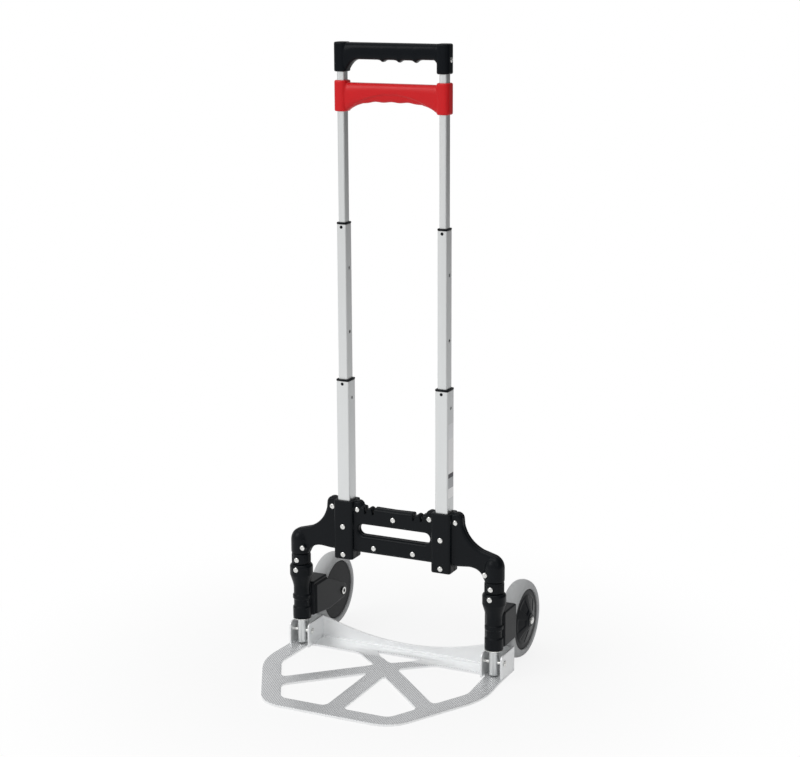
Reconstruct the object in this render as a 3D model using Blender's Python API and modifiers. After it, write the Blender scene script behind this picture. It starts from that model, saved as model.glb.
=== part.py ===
"""Folding hand truck: a two-stage telescopic handle over a moulded yoke, two legs, a toe plate
that folds up about pins through the legs, and wheels on brackets that swing in as it folds.

Sizes are in metres. X is the width, Y the depth with the toe plate towards -Y, Z the height.
The legs' plane is y = 0 in every outline, and the whole truck is moved by LEG_PLANE_Y so that
the origin is the middle of its footprint, on the floor.
"""
import math

import bmesh
import bpy
from mathutils import Matrix, Vector

GAP = 0.0003                     # clearance between neighbouring pieces
SIDES = {"left": -1, "right": 1}

# Legs
LEG_X = 0.174                    # leg axis, from the truck's middle plane
LEG_RADIUS = 0.008
LEG_WALL = 0.0018
LEG_BOTTOM = 0.0063
LEG_SEAT = 0.031                 # length of leg held in the yoke

# Telescopic tubes: width along X, depth along Y
TUBE_X = 0.087                   # tube axis, from the truck's middle plane
TUBE_CORNER = 0.0025
LOWER_WIDTH, LOWER_DEPTH, LOWER_WALL = 0.022, 0.025, 0.0014
MIDDLE_WALL = 0.0012
UPPER_WALL = 0.0012
MIDDLE_PLAY_X, MIDDLE_PLAY_Y = 0.0027, 0.0022    # how much smaller than the bore it slides in
UPPER_PLAY_X, UPPER_PLAY_Y = 0.0016, 0.0021
LOWER_LENGTH = 0.297
MIDDLE_LENGTH = 0.295
UPPER_LENGTH = 0.357
TUBE_OVERLAP = 0.042             # length that the middle tube keeps in the lower one
UPPER_OVERLAP = 0.084            # length that the upper tube keeps in the middle one
HALF_WAY_HOLE = 0.103            # second lock hole, below the first

# Collars at the tubes' mouths
COLLAR_HEIGHT = 0.0042
COLLAR_LIP = 0.0004              # how far a collar stands out past its tube
TONGUE_HALF_WIDTH = 0.004
TONGUE_DEPTH = 0.014
TONGUE_THICKNESS = 0.00045
STUD_RADIUS = 0.0026
STUD_DROP = 0.0045               # stud centre below the tube's mouth
STUD_PROUD = 0.0007

# Plugs and lock pins in the lower ends of the sliding tubes
PLUG_HEIGHT = 0.028
UPPER_PLUG_HEIGHT = 0.033
PIN_RISE = 0.014                 # pin axis above the plug's lower end
PIN_RADIUS = 0.002
PIN_TRAVEL = 0.0025

# Yoke: the heights in it are measured up from its lower end
YOKE_BOTTOM = 0.1643
YOKE_HEIGHT = 0.0942             # to the top edge of the hand slot's bar
YOKE_HALF = 0.009                # half thickness of the arms and cross bars
SOCKET_WALL_X = 0.006            # wall of a tube socket beside the tube
SOCKET_WALL_Y = 0.004            # wall of a tube socket in front of the tube and behind it
SOCKET_RISE = 0.0037
SOCKET_HEIGHT = 0.0993
SOCKET_FLOOR = 0.001             # the lower tube stands this far above the socket's end
LEG_SOCKET_WALL = 0.0085
LEG_SHOULDER_RISE = 0.0217
LEG_SOCKET_HEIGHT = 0.0417
BRACE_RISE = 0.0162
ARM_RISE = 0.0482                # top edge of an arm where it meets the leg socket
SLOT_RISE = 0.0462
SLOT_HEIGHT = 0.018
SLOT_END_MARGIN = 0.006          # from the slot's end to the tube socket
CORD_SLIT_WIDTH = 0.0036
CORD_SLIT_DEPTH = 0.011
CORD_SLITS = (0.0360, 0.0495)
LOBE_RISE = 0.0947
OUTER_LOBE_OUT = 0.0065          # from a tube socket's side to the clamp lobes beside it
INNER_LOBE_OUT = 0.005
INNER_LOBE_RADIUS = 0.0085
OUTER_LOBE_RADIUS = 0.0105

# Screws
SCREW_HEAD_RADIUS = 0.0042
SCREW_HEAD_HEIGHT = 0.0017
SCREW_RADIUS = 0.0018
SCREW_LENGTH = 0.014
SHORT_SCREW_LENGTH = 0.006
ARM_SCREW_LENGTH = 0.0108
SCREW_SIDES = 8
SOCKET_SCREW_RISES = (0.0117, 0.0592)
ARM_SCREW_RISE = 0.0117
ARM_SCREW_INSET = 0.006          # from the leg socket's side to the screw's axis
ARM_BOSS_RADIUS = 0.0056
ARM_BOSS_SET_BACK = 0.0015       # from the leg socket's front to the boss
LOBE_SCREW_RISE = 0.0892
LOBE_SCREW_OUT = 0.0055          # from a tube socket's side to the screw's axis
BAR_SCREW_RISE = 0.0792
LOWER_BAR_SCREW_X = 0.035
LOWER_BAR_SCREW_RISE = 0.0267

# Fixed collar under the yoke, on each leg
LEG_COLLAR_WALL = 0.008
LEG_COLLAR_HEIGHT = 0.019
LEG_COLLAR_SCREW_RISE = 0.0085

# Swinging wheel bracket: barrel round the leg, fender round the tyre, cheek to the axle
BARREL_BOTTOM = 0.050
BARREL_WALL = 0.0055
BARREL_RING_WALL = 0.0072
BARREL_HEAD_WALL = 0.0113
BARREL_HEAD_HEIGHT = 0.0197
BARREL_TAPER = 0.019
BRACKET_SCREW_DROP = 0.0072      # from the barrel's top
FENDER_FRONT = 0.006
FENDER_DEPTH = 0.050
FENDER_BELOW, FENDER_ABOVE = 0.013, 0.046        # from the axle's height
FENDER_WALL = 0.0016
WHEEL_ROOM = 0.0015              # round the tyre
CHEEK_ROOM = 0.0011              # beside the tyre
CHEEK_THICKNESS = 0.0072
AXLE_BOSS_RADIUS = 0.014

# Wheels
WHEEL_RADIUS = 0.065
WHEEL_BEHIND_LEG = 0.042         # from the legs' plane to the tyre
TYRE_HALF_WIDTH = 0.0135
TYRE_DEPTH = 0.0145
HUB_INSET = 0.002                # hub rim inside the tyre's side
HUB_BOSS_OUT = 0.0217
HUB_BOSS_RADIUS = 0.0115
AXLE_RADIUS = 0.004
AXLE_HEAD_RADIUS = 0.0062
AXLE_HEAD_HEIGHT = 0.0026
NUT_RADIUS = 0.0065
NUT_HEIGHT = 0.0022
WHEEL_SIDES = 32

# Toe plate
PLATE_FLARE = 0.005              # wider at the shoulders than at the ears, on each side
PLATE_REACH = 0.252
PLATE_THICKNESS = 0.004
PLATE_RIM = 0.031
EDGE_SAVING = 0.004              # the rim is this much narrower beside the ears
SHOULDER_REACH = 0.158           # length of the tapering nose
NOSE_SAVING = 0.086              # the front edge is this much shorter at each end
SHOULDER_CORNER, NOSE_CORNER = 0.050, 0.035
WINDOW_CORNER = 0.008
SPOKE_WIDTH = 0.030
RIB_WIDTH = 0.024
RIB_END = (0.085, 0.030)
SPOKE_RUN = (0.1584, 0.1505)     # from the hub to the end of a slanting spoke
BEAM_FRONT = 0.002               # front edge of the rear beam
HUB_Y = -0.040
SLIM_WINDOW = ((0.043, 0.017), (0.026, -0.003))  # right half of the small window behind the hub
SLIM_WINDOW_NOSE = 0.0186        # from the hub to the small window
WEB_REAR = 0.0435
WEB_THICKNESS = 0.0032
WEB_MIDDLE_HEIGHT = 0.018
WEB_STEPS = 8
EAR_HEIGHT = 0.042
EAR_FRONT = -0.012
EAR_CORNER = 0.008
EAR_THICKNESS = 0.003
EAR_ROOM = 0.0006                # from the bracket's lower ring to an ear
HINGE_Z = 0.027
HINGE_RADIUS = 0.003
HINGE_HEAD_RADIUS = 0.0052
HINGE_HEAD_HEIGHT = 0.0018

# Top handle and the release grip under it
HANDLE_ABOVE_TUBE = 0.010
HANDLE_HEIGHT = 0.0455
POST_WALL_X, POST_WALL_Y, POST_CORNER = 0.00425, 0.00475, 0.007
GRIP_THICKNESS = 0.030
GRIP_HALF_DEPTH = 0.0115
FINGER_PITCH = 0.029
FINGER_RISE = 0.0036
FIRST_CUSP = 0.016               # X of the middle cusp between the fingers
HANDLE_SCREW_DROP = 0.024        # below the handle's top
RELEASE_SPARE = 0.001            # left above the release grip when it is pulled right up
RELEASE_HEIGHT = 0.048
RELEASE_GRIP_DROP = 0.0035       # from the posts' top to the grip's
RELEASE_ARCH_RISE = 0.0155       # from the posts' lower end to the grip's underside
RELEASE_HALF_DEPTH = 0.0105
RELEASE_TRAVEL = 0.012
LUG_RISE, LUG_HEIGHT = 0.0165, 0.010
LUG_HALF_WIDTH = 0.002
ROD_RADIUS = 0.002

# Worked out from the sizes above
WHEEL_Y = WHEEL_BEHIND_LEG + WHEEL_RADIUS
LEG_PLANE_Y = (PLATE_REACH - WHEEL_Y - WHEEL_RADIUS) / 2
LEG_TOP = YOKE_BOTTOM + LEG_SEAT
MIDDLE_WIDTH = LOWER_WIDTH - 2 * LOWER_WALL - MIDDLE_PLAY_X
MIDDLE_DEPTH = LOWER_DEPTH - 2 * LOWER_WALL - MIDDLE_PLAY_Y
UPPER_WIDTH = MIDDLE_WIDTH - 2 * MIDDLE_WALL - UPPER_PLAY_X
UPPER_DEPTH = MIDDLE_DEPTH - 2 * MIDDLE_WALL - UPPER_PLAY_Y
SOCKET_HALF_WIDTH = LOWER_WIDTH / 2 + SOCKET_WALL_X
SOCKET_HALF_DEPTH = LOWER_DEPTH / 2 + SOCKET_WALL_Y
SOCKET_BOTTOM = YOKE_BOTTOM + SOCKET_RISE
SOCKET_TOP = SOCKET_BOTTOM + SOCKET_HEIGHT
YOKE_TOP = YOKE_BOTTOM + YOKE_HEIGHT
LEG_SOCKET_RADIUS = LEG_RADIUS + LEG_SOCKET_WALL
ARM_SCREW_X = LEG_X - LEG_SOCKET_RADIUS + ARM_SCREW_INSET
ARM_BOSS_FRONT = ARM_BOSS_SET_BACK - LEG_SOCKET_RADIUS
LOWER_BOTTOM = SOCKET_BOTTOM + SOCKET_FLOOR
LOWER_TOP = LOWER_BOTTOM + LOWER_LENGTH
MIDDLE_BOTTOM = LOWER_TOP - TUBE_OVERLAP
MIDDLE_TOP = MIDDLE_BOTTOM + MIDDLE_LENGTH
UPPER_BOTTOM = MIDDLE_TOP - UPPER_OVERLAP
UPPER_TOP = UPPER_BOTTOM + UPPER_LENGTH
MIDDLE_PIN_Z = MIDDLE_BOTTOM + PIN_RISE
UPPER_PIN_Z = UPPER_BOTTOM + PIN_RISE
LEG_COLLAR_RADIUS = LEG_RADIUS + LEG_COLLAR_WALL
LEG_COLLAR_TOP = YOKE_BOTTOM - GAP
LEG_COLLAR_BOTTOM = LEG_COLLAR_TOP - LEG_COLLAR_HEIGHT
BRACKET_TOP = LEG_COLLAR_BOTTOM - GAP
BARREL_HEAD_RADIUS = LEG_RADIUS + BARREL_HEAD_WALL
CHEEK_OUTER = TYRE_HALF_WIDTH + CHEEK_ROOM
EAR_HALF_SPAN = LEG_RADIUS + BARREL_RING_WALL + EAR_ROOM
PLATE_EDGE = LEG_X + EAR_HALF_SPAN + EAR_THICKNESS
PLATE_HALF_WIDTH = PLATE_EDGE + PLATE_FLARE
HANDLE_TOP = UPPER_TOP + HANDLE_ABOVE_TUBE
HANDLE_BOTTOM = HANDLE_TOP - HANDLE_HEIGHT
HANDLE_SCREW_Z = HANDLE_TOP - HANDLE_SCREW_DROP
GRIP_UNDERSIDE = HANDLE_TOP - GRIP_THICKNESS
POST_WIDTH = UPPER_WIDTH + 2 * POST_WALL_X
POST_DEPTH = UPPER_DEPTH + 2 * POST_WALL_Y
RELEASE_TOP = HANDLE_BOTTOM - RELEASE_TRAVEL - RELEASE_SPARE
RELEASE_BOTTOM = RELEASE_TOP - RELEASE_HEIGHT
RELEASE_UNDERSIDE = RELEASE_BOTTOM + RELEASE_ARCH_RISE
LUG_BOTTOM = RELEASE_BOTTOM + LUG_RISE
LUG_TOP = LUG_BOTTOM + LUG_HEIGHT

FINISHES = {
    "brushed_aluminium": ((0.78, 0.79, 0.80, 1), 0.35, 1.0),
    "black_plastic": ((0.016, 0.019, 0.022, 1), 0.45, 0.0),
    "gloss_black_plastic": ((0.012, 0.015, 0.019, 1), 0.30, 0.0),
    "red_plastic": ((0.68, 0.012, 0.014, 1), 0.35, 0.0),
    "zinc_steel": ((0.80, 0.80, 0.78, 1), 0.30, 1.0),
    "grey_rubber": ((0.30, 0.32, 0.33, 1), 0.70, 0.0),
}

BODY_ORIGINS = {
    "frame": (0, 0, 0),
    "middle_stage": (0, 0, 0),
    "top_stage": (0, 0, 0),
    "release": (0, 0, 0),
    "toe": (0, 0, HINGE_Z),
}
for side, sign in SIDES.items():
    BODY_ORIGINS["bracket_" + side] = (sign * LEG_X, 0, 0)
    BODY_ORIGINS["wheel_" + side] = (sign * LEG_X, WHEEL_Y, WHEEL_RADIUS)
    BODY_ORIGINS["middle_pin_" + side] = (sign * TUBE_X, 0, MIDDLE_PIN_Z)
    BODY_ORIGINS["upper_pin_" + side] = (sign * TUBE_X, 0, UPPER_PIN_Z)


# ------------------------------------------------------------------ scene and objects

def clear_scene():
    """Remove every object, and make the two collections and the parents of the moving groups."""
    for obj in list(bpy.data.objects):
        bpy.data.objects.remove(obj, do_unlink=True)
    parts = bpy.data.collections.new("folding_hand_truck")
    cutters = bpy.data.collections.new("cutters")
    bpy.context.scene.collection.children.link(parts)
    bpy.context.scene.collection.children.link(cutters)
    root = bpy.data.objects.new("truck_origin", None)
    root.location = (0, LEG_PLANE_Y, 0)
    parts.objects.link(root)
    parents = {}
    for body, origin in BODY_ORIGINS.items():
        parents[body] = bpy.data.objects.new(body + "_axis", None)
        parents[body].parent = root
        parents[body].location = origin
        parts.objects.link(parents[body])
    return parts, cutters, parents


def make_finish(name):
    """A Principled material with the finish's colour, roughness and metallic value."""
    colour, roughness, metallic = FINISHES[name]
    material = bpy.data.materials.new(name)
    material.use_nodes = True
    shader = material.node_tree.nodes["Principled BSDF"]
    shader.inputs["Base Color"].default_value = colour
    shader.inputs["Roughness"].default_value = roughness
    shader.inputs["Metallic"].default_value = metallic
    material.diffuse_color = colour
    return material


def evaluated_mesh(obj):
    """The object's mesh with its modifiers, welded, in world space."""
    graph = bpy.context.evaluated_depsgraph_get()
    mesh = bpy.data.meshes.new_from_object(obj.evaluated_get(graph))
    mesh.transform(obj.matrix_world)
    welded = bmesh.new()
    welded.from_mesh(mesh)
    bmesh.ops.remove_doubles(welded, verts=welded.verts, dist=1e-6)
    bmesh.ops.recalc_face_normals(welded, faces=welded.faces)
    welded.to_mesh(mesh)
    welded.free()
    return mesh


def baked(obj):
    """The evaluated mesh of a helper object, which is then removed."""
    bpy.context.view_layer.update()
    mesh = evaluated_mesh(obj)
    bpy.data.objects.remove(obj, do_unlink=True)
    return mesh


def helper(name, data):
    """An object that only lives until it is baked."""
    obj = bpy.data.objects.new(name, data)
    CUTTERS.objects.link(obj)
    return obj


def joined(base, added=(), removed=()):
    """The base mesh with other meshes united with it, and then others cut from it."""
    obj = helper("joined", base)
    tools = []
    for operation, meshes in (("UNION", added), ("DIFFERENCE", removed)):
        for mesh in meshes:
            tools.append(helper("tool", mesh))
            modifier = obj.modifiers.new(operation.lower(), "BOOLEAN")
            modifier.operation = operation
            modifier.solver = "EXACT"
            modifier.object = tools[-1]
    mesh = baked(obj)
    for tool in tools:
        bpy.data.objects.remove(tool, do_unlink=True)
    return mesh


def piece(name, mesh, body, finish):
    """A named sub-part whose origin is on its body's joint axis."""
    mesh.name = name
    mesh.transform(Matrix.Translation(-Vector(BODY_ORIGINS[body])))
    mesh.materials.clear()
    mesh.materials.append(MATERIALS[finish])
    mesh.shade_smooth()
    mesh.set_sharp_from_angle(angle=math.radians(35))
    obj = bpy.data.objects.new(name, mesh)
    PARTS.objects.link(obj)
    obj.parent = PARENTS[body]
    return obj


# ------------------------------------------------------------------ basic solids

def box(low, high, bevel=0.0, segments=2):
    """A box between two corners, with its edges rounded by an optional bevel."""
    low, high = Vector(low), Vector(high)
    shape = bmesh.new()
    place = Matrix.Translation((low + high) / 2) @ Matrix.Diagonal((high - low).to_4d())
    place[3][3] = 1
    bmesh.ops.create_cube(shape, size=1, matrix=place)
    if bevel:
        bmesh.ops.bevel(shape, geom=shape.edges, offset=bevel, segments=segments,
                        profile=0.5, affect="EDGES")
    mesh = bpy.data.meshes.new("box")
    shape.to_mesh(mesh)
    shape.free()
    return mesh


def axis_frame(start, direction):
    """The matrix that turns +Z to a direction and moves the origin to a start point."""
    turn = Vector(direction).to_track_quat("Z", "Y").to_matrix().to_4x4()
    return Matrix.Translation(start) @ turn


def rod(start, end, radius, sides=20):
    """A round rod between two points."""
    start, end = Vector(start), Vector(end)
    shape = bmesh.new()
    place = axis_frame((start + end) / 2, end - start)
    bmesh.ops.create_cone(shape, cap_ends=True, segments=sides, radius1=radius, radius2=radius,
                          depth=(end - start).length, matrix=place)
    mesh = bpy.data.meshes.new("rod")
    shape.to_mesh(mesh)
    shape.free()
    return mesh


def turned(profile, start, direction, steps):
    """A solid turned about an axis from (radius, distance along the axis) points."""
    mesh = bpy.data.meshes.new("profile")
    points = [(radius, 0, along) for radius, along in profile]
    edges = [(index, index + 1) for index in range(len(points) - 1)]
    if profile[0][0] > 0:
        edges.append((len(points) - 1, 0))
    mesh.from_pydata(points, edges, [])
    obj = helper("turned", mesh)
    screw = obj.modifiers.new("turn", "SCREW")
    screw.steps = screw.render_steps = steps
    screw.use_merge_vertices = True
    screw.merge_threshold = 1e-6
    solid = baked(obj)
    solid.transform(axis_frame(start, direction))
    return solid


PLANES = {
    "XY": Matrix(((1, 0, 0, 0), (0, 1, 0, 0), (0, 0, 1, 0), (0, 0, 0, 1))),
    "XZ": Matrix(((1, 0, 0, 0), (0, 0, 1, 0), (0, 1, 0, 0), (0, 0, 0, 1))),
    "YZ": Matrix(((0, 0, 1, 0), (1, 0, 0, 0), (0, 1, 0, 0), (0, 0, 0, 1))),
}


def extruded(loops, plane, low, high):
    """Closed outlines in a plane, inner ones being windows, carried from low to high across it."""
    curve = bpy.data.curves.new("outline", "CURVE")
    curve.dimensions = "2D"
    curve.fill_mode = "BOTH"
    curve.extrude = (high - low) / 2
    for loop in loops:
        spline = curve.splines.new("POLY")
        spline.points.add(len(loop) - 1)
        spline.use_cyclic_u = True
        for point, (across, along) in zip(spline.points, loop):
            point.co = (across, along, 0, 1)
    solid = baked(helper("extruded", curve))
    solid.transform(PLANES[plane] @ Matrix.Translation((0, 0, (low + high) / 2)))
    if plane == "XZ":
        solid.flip_normals()
    return solid


# ------------------------------------------------------------------ outlines

def arc(centre, radius, start, end, steps):
    """Points on a circular arc, with its angles in degrees."""
    points = []
    for step in range(steps + 1):
        angle = math.radians(start + (end - start) * step / steps)
        points.append((centre[0] + radius * math.cos(angle), centre[1] + radius * math.sin(angle)))
    return points


def bend(start, control, end, steps):
    """Points on a quadratic curve from start to end, drawn towards a control point."""
    points = []
    for step in range(steps + 1):
        t = step / steps
        weights = ((1 - t) ** 2, 2 * t * (1 - t), t ** 2)
        points.append(tuple(sum(weight * point[axis] for weight, point in
                                zip(weights, (start, control, end))) for axis in (0, 1)))
    return points


def arc_corner(corners, index, radius, steps=5):
    """The points of one corner of a closed outline when an arc rounds it."""
    here = Vector(corners[index])
    back = (Vector(corners[index - 1]) - here).normalized()
    ahead = (Vector(corners[(index + 1) % len(corners)]) - here).normalized()
    half = back.angle(ahead) / 2
    middle = here + (back + ahead).normalized() * (radius / math.sin(half))
    first = here + back * (radius / math.tan(half)) - middle
    last = here + ahead * (radius / math.tan(half)) - middle
    turn = first.angle_signed(last)
    return [tuple(middle + Matrix.Rotation(-turn * step / steps, 2) @ first)
            for step in range(steps + 1)]


def rounded_corners(corners, radius, steps=3):
    """A closed outline with every corner rounded by an arc of one radius."""
    points = []
    for index in range(len(corners)):
        points += arc_corner(corners, index, radius, steps)
    return points


def rectangle(width, depth, corner=0.0, centre=(0, 0)):
    """A rectangle about a centre, with round corners if a radius is given."""
    half_x, half_y = width / 2, depth / 2
    corners = [(centre[0] + sx * half_x, centre[1] + sy * half_y)
               for sx, sy in ((1, 1), (-1, 1), (-1, -1), (1, -1))]
    return rounded_corners(corners, corner) if corner else corners


def mirrored(points):
    """A half outline at x > 0, completed with its mirror image."""
    return points + [(-across, along) for across, along in reversed(points)]


def inset(corners, distances):
    """A convex outline, listed clockwise, with each side moved inwards by its own distance."""
    lines = []
    for index, corner in enumerate(corners):
        here, ahead = Vector(corner), Vector(corners[(index + 1) % len(corners)])
        along = (ahead - here).normalized()
        inward = Vector((along.y, -along.x))
        lines.append((here + inward * distances[index], along))
    moved = []
    for index, (point, along) in enumerate(lines):
        before, direction = lines[index - 1]
        reach = (point - before).cross(along) / direction.cross(along)
        moved.append(tuple(before + direction * reach))
    return moved


# ------------------------------------------------------------------ handle tubes

def tube(width, depth, wall, bottom, top, across):
    """A rectangular tube with round corners, upright at a given X."""
    outer = rectangle(width, depth, TUBE_CORNER, (across, 0))
    bore = rectangle(width - 2 * wall, depth - 2 * wall, TUBE_CORNER - wall, (across, 0))
    return extruded([outer, bore], "XY", bottom, top)


def side_hole(across, height, half_reach, radius=PIN_RADIUS + GAP, start=0.0):
    """A cutter along X through a tube's side wall or walls at a height."""
    return rod((across + start, 0, height), (across + half_reach, 0, height), radius, 12)


def front_hole(across, height, depth, radius):
    """A cutter along Y through a tube's front wall at a height."""
    return rod((across, -depth, height), (across, 0, height), radius, 12)


def make_collar(name, across, top, outer, inner, body):
    """A mouth collar: a ring on the tube's end, a tongue inside its front wall and a snap stud."""
    width, depth, wall = outer
    ring_outer = rectangle(width + 2 * COLLAR_LIP, depth + 2 * COLLAR_LIP,
                           TUBE_CORNER + COLLAR_LIP, (across, 0))
    ring_bore = rectangle(inner[0] + 2 * GAP, inner[1] + 2 * GAP, TUBE_CORNER, (across, 0))
    ring = extruded([ring_outer, ring_bore], "XY", top + GAP, top + GAP + COLLAR_HEIGHT)
    tongue_back = -inner[1] / 2 - GAP
    tongue_front = tongue_back - TONGUE_THICKNESS
    tongue = box((across - TONGUE_HALF_WIDTH, tongue_front, top - TONGUE_DEPTH),
                 (across + TONGUE_HALF_WIDTH, tongue_back, top + GAP + COLLAR_HEIGHT / 2))
    stud_z = top - STUD_DROP
    stud = rod((across, tongue_back - TONGUE_THICKNESS / 2, stud_z),
               (across, -depth / 2 - STUD_PROUD, stud_z), STUD_RADIUS, 12)
    return piece(name, joined(ring, [tongue, stud]), body, "black_plastic")


def make_plug(name, across, bottom, height, tube_size, body):
    """The guide plug in a tube's lower end, bored for the lock pin and the release rod."""
    width, depth, wall = tube_size
    outline = rectangle(width - 2 * wall - 2 * GAP, depth - 2 * wall - 2 * GAP,
                        TUBE_CORNER - wall, (across, 0))
    block = extruded([outline], "XY", bottom, bottom + height)
    pin_bore = side_hole(across, bottom + PIN_RISE, width, start=-width)
    rod_bore = rod((across, 0, bottom + PIN_RISE), (across, 0, bottom + 2 * height),
                   ROD_RADIUS + GAP, 12)
    return piece(name, joined(block, removed=[pin_bore, rod_bore]), body, "black_plastic")


def make_lock_pin(name, across, height, tube_size, outer_tube, body):
    """A sprung pin that lies across a plug and points at the outer tube's lock hole."""
    tip = outer_tube[0] / 2 - outer_tube[2] - GAP
    tail = -(tube_size[0] / 2 - tube_size[2] - GAP) + PIN_TRAVEL
    pin = rod((across + tail, 0, height), (across + tip, 0, height), PIN_RADIUS, 12)
    return piece(name, pin, body, "zinc_steel")


def make_handle_tubes():
    """The three nested tubes of each side, with their collars, plugs and lock pins."""
    lower = (LOWER_WIDTH, LOWER_DEPTH, LOWER_WALL)
    middle = (MIDDLE_WIDTH, MIDDLE_DEPTH, MIDDLE_WALL)
    upper = (UPPER_WIDTH, UPPER_DEPTH, UPPER_WALL)
    for side, sign in SIDES.items():
        across = sign * TUBE_X
        stud_hole = STUD_RADIUS + GAP

        cuts = [side_hole(across, MIDDLE_PIN_Z, LOWER_WIDTH, start=-LOWER_WIDTH),
                front_hole(across, LOWER_TOP - STUD_DROP, LOWER_DEPTH, stud_hole)]
        for rise in SOCKET_SCREW_RISES:
            cuts.append(front_hole(across, YOKE_BOTTOM + rise, LOWER_DEPTH, SCREW_RADIUS + GAP))
        blank = tube(*lower, LOWER_BOTTOM, LOWER_TOP, across)
        piece("lower_tube_" + side, joined(blank, removed=cuts), "frame", "brushed_aluminium")
        make_collar("lower_collar_" + side, across, LOWER_TOP, lower, middle, "frame")

        cuts = [side_hole(across, height, MIDDLE_WIDTH, start=-MIDDLE_WIDTH)
                for height in (UPPER_PIN_Z, UPPER_PIN_Z - HALF_WAY_HOLE)]
        cuts.append(side_hole(across, MIDDLE_PIN_Z, MIDDLE_WIDTH))
        cuts.append(front_hole(across, MIDDLE_TOP - STUD_DROP, MIDDLE_DEPTH, stud_hole))
        blank = tube(*middle, MIDDLE_BOTTOM, MIDDLE_TOP, across)
        piece("middle_tube_" + side, joined(blank, removed=cuts), "middle_stage",
              "brushed_aluminium")
        make_collar("middle_collar_" + side, across, MIDDLE_TOP, middle, upper, "middle_stage")
        make_plug("middle_plug_" + side, across, MIDDLE_BOTTOM, PLUG_HEIGHT, middle, "middle_stage")
        make_lock_pin("middle_lock_pin_" + side, across, MIDDLE_PIN_Z, middle, lower,
                      "middle_pin_" + side)

        inward = -sign * UPPER_WIDTH
        slot = box((min(across, across + inward), -LUG_HALF_WIDTH - GAP, LUG_BOTTOM - GAP),
                   (max(across, across + inward), LUG_HALF_WIDTH + GAP,
                    LUG_TOP + RELEASE_TRAVEL + GAP))
        screw_hole = side_hole(across, HANDLE_SCREW_Z, sign * UPPER_WIDTH, SCREW_RADIUS + GAP)
        cuts = [side_hole(across, UPPER_PIN_Z, UPPER_WIDTH), slot, screw_hole]
        blank = tube(*upper, UPPER_BOTTOM, UPPER_TOP, across)
        piece("upper_tube_" + side, joined(blank, removed=cuts), "top_stage", "brushed_aluminium")
        make_plug("upper_plug_" + side, across, UPPER_BOTTOM, UPPER_PLUG_HEIGHT, upper, "top_stage")
        make_lock_pin("upper_lock_pin_" + side, across, UPPER_PIN_Z, upper, middle,
                      "upper_pin_" + side)


# ------------------------------------------------------------------ screws

def screw_solid(seat, direction, length):
    """A pan-head screw: seat is the centre of the head's underside, direction points inwards."""
    profile = [(0, -SCREW_HEAD_HEIGHT), (SCREW_HEAD_RADIUS * 0.6, -SCREW_HEAD_HEIGHT),
               (SCREW_HEAD_RADIUS, -SCREW_HEAD_HEIGHT * 0.35), (SCREW_HEAD_RADIUS, 0),
               (SCREW_RADIUS, 0), (SCREW_RADIUS, length), (0, length)]
    return turned(profile, seat, direction, SCREW_SIDES)


def screw_bore(seat, direction, length):
    """The cutter for a screw's shank, a clearance larger and longer than the shank."""
    seat, direction = Vector(seat), Vector(direction)
    return rod(seat - direction * SCREW_HEAD_HEIGHT, seat + direction * (length + GAP),
               SCREW_RADIUS + GAP, SCREW_SIDES)


# ------------------------------------------------------------------ yoke

def yoke_screws():
    """Name, seat and length of each screw through the yoke's front half."""
    front = -YOKE_HALF - GAP
    socket_front = -SOCKET_HALF_DEPTH - GAP
    arm_front = ARM_BOSS_FRONT - GAP
    lobe_screw = SOCKET_HALF_WIDTH + LOBE_SCREW_OUT
    lower_rise, upper_rise = SOCKET_SCREW_RISES
    centre_seat = (0, front, YOKE_BOTTOM + BAR_SCREW_RISE)
    screws = {"yoke_screw_top_centre": (centre_seat, SCREW_LENGTH)}
    for side, sign in SIDES.items():
        for name, across, depth, rise, length in (
                ("outer_top", TUBE_X + lobe_screw, front, LOBE_SCREW_RISE, SCREW_LENGTH),
                ("inner_top", TUBE_X - lobe_screw, front, LOBE_SCREW_RISE, SCREW_LENGTH),
                ("socket_upper", TUBE_X, socket_front, upper_rise, SHORT_SCREW_LENGTH),
                ("socket_lower", TUBE_X, socket_front, lower_rise, SHORT_SCREW_LENGTH),
                ("arm", ARM_SCREW_X, arm_front, ARM_SCREW_RISE, ARM_SCREW_LENGTH),
                ("lower_bar", LOWER_BAR_SCREW_X, front, LOWER_BAR_SCREW_RISE, SCREW_LENGTH)):
            seat = (sign * across, depth, YOKE_BOTTOM + rise)
            screws["yoke_screw_%s_%s" % (name, side)] = (seat, length)
    return screws


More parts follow.
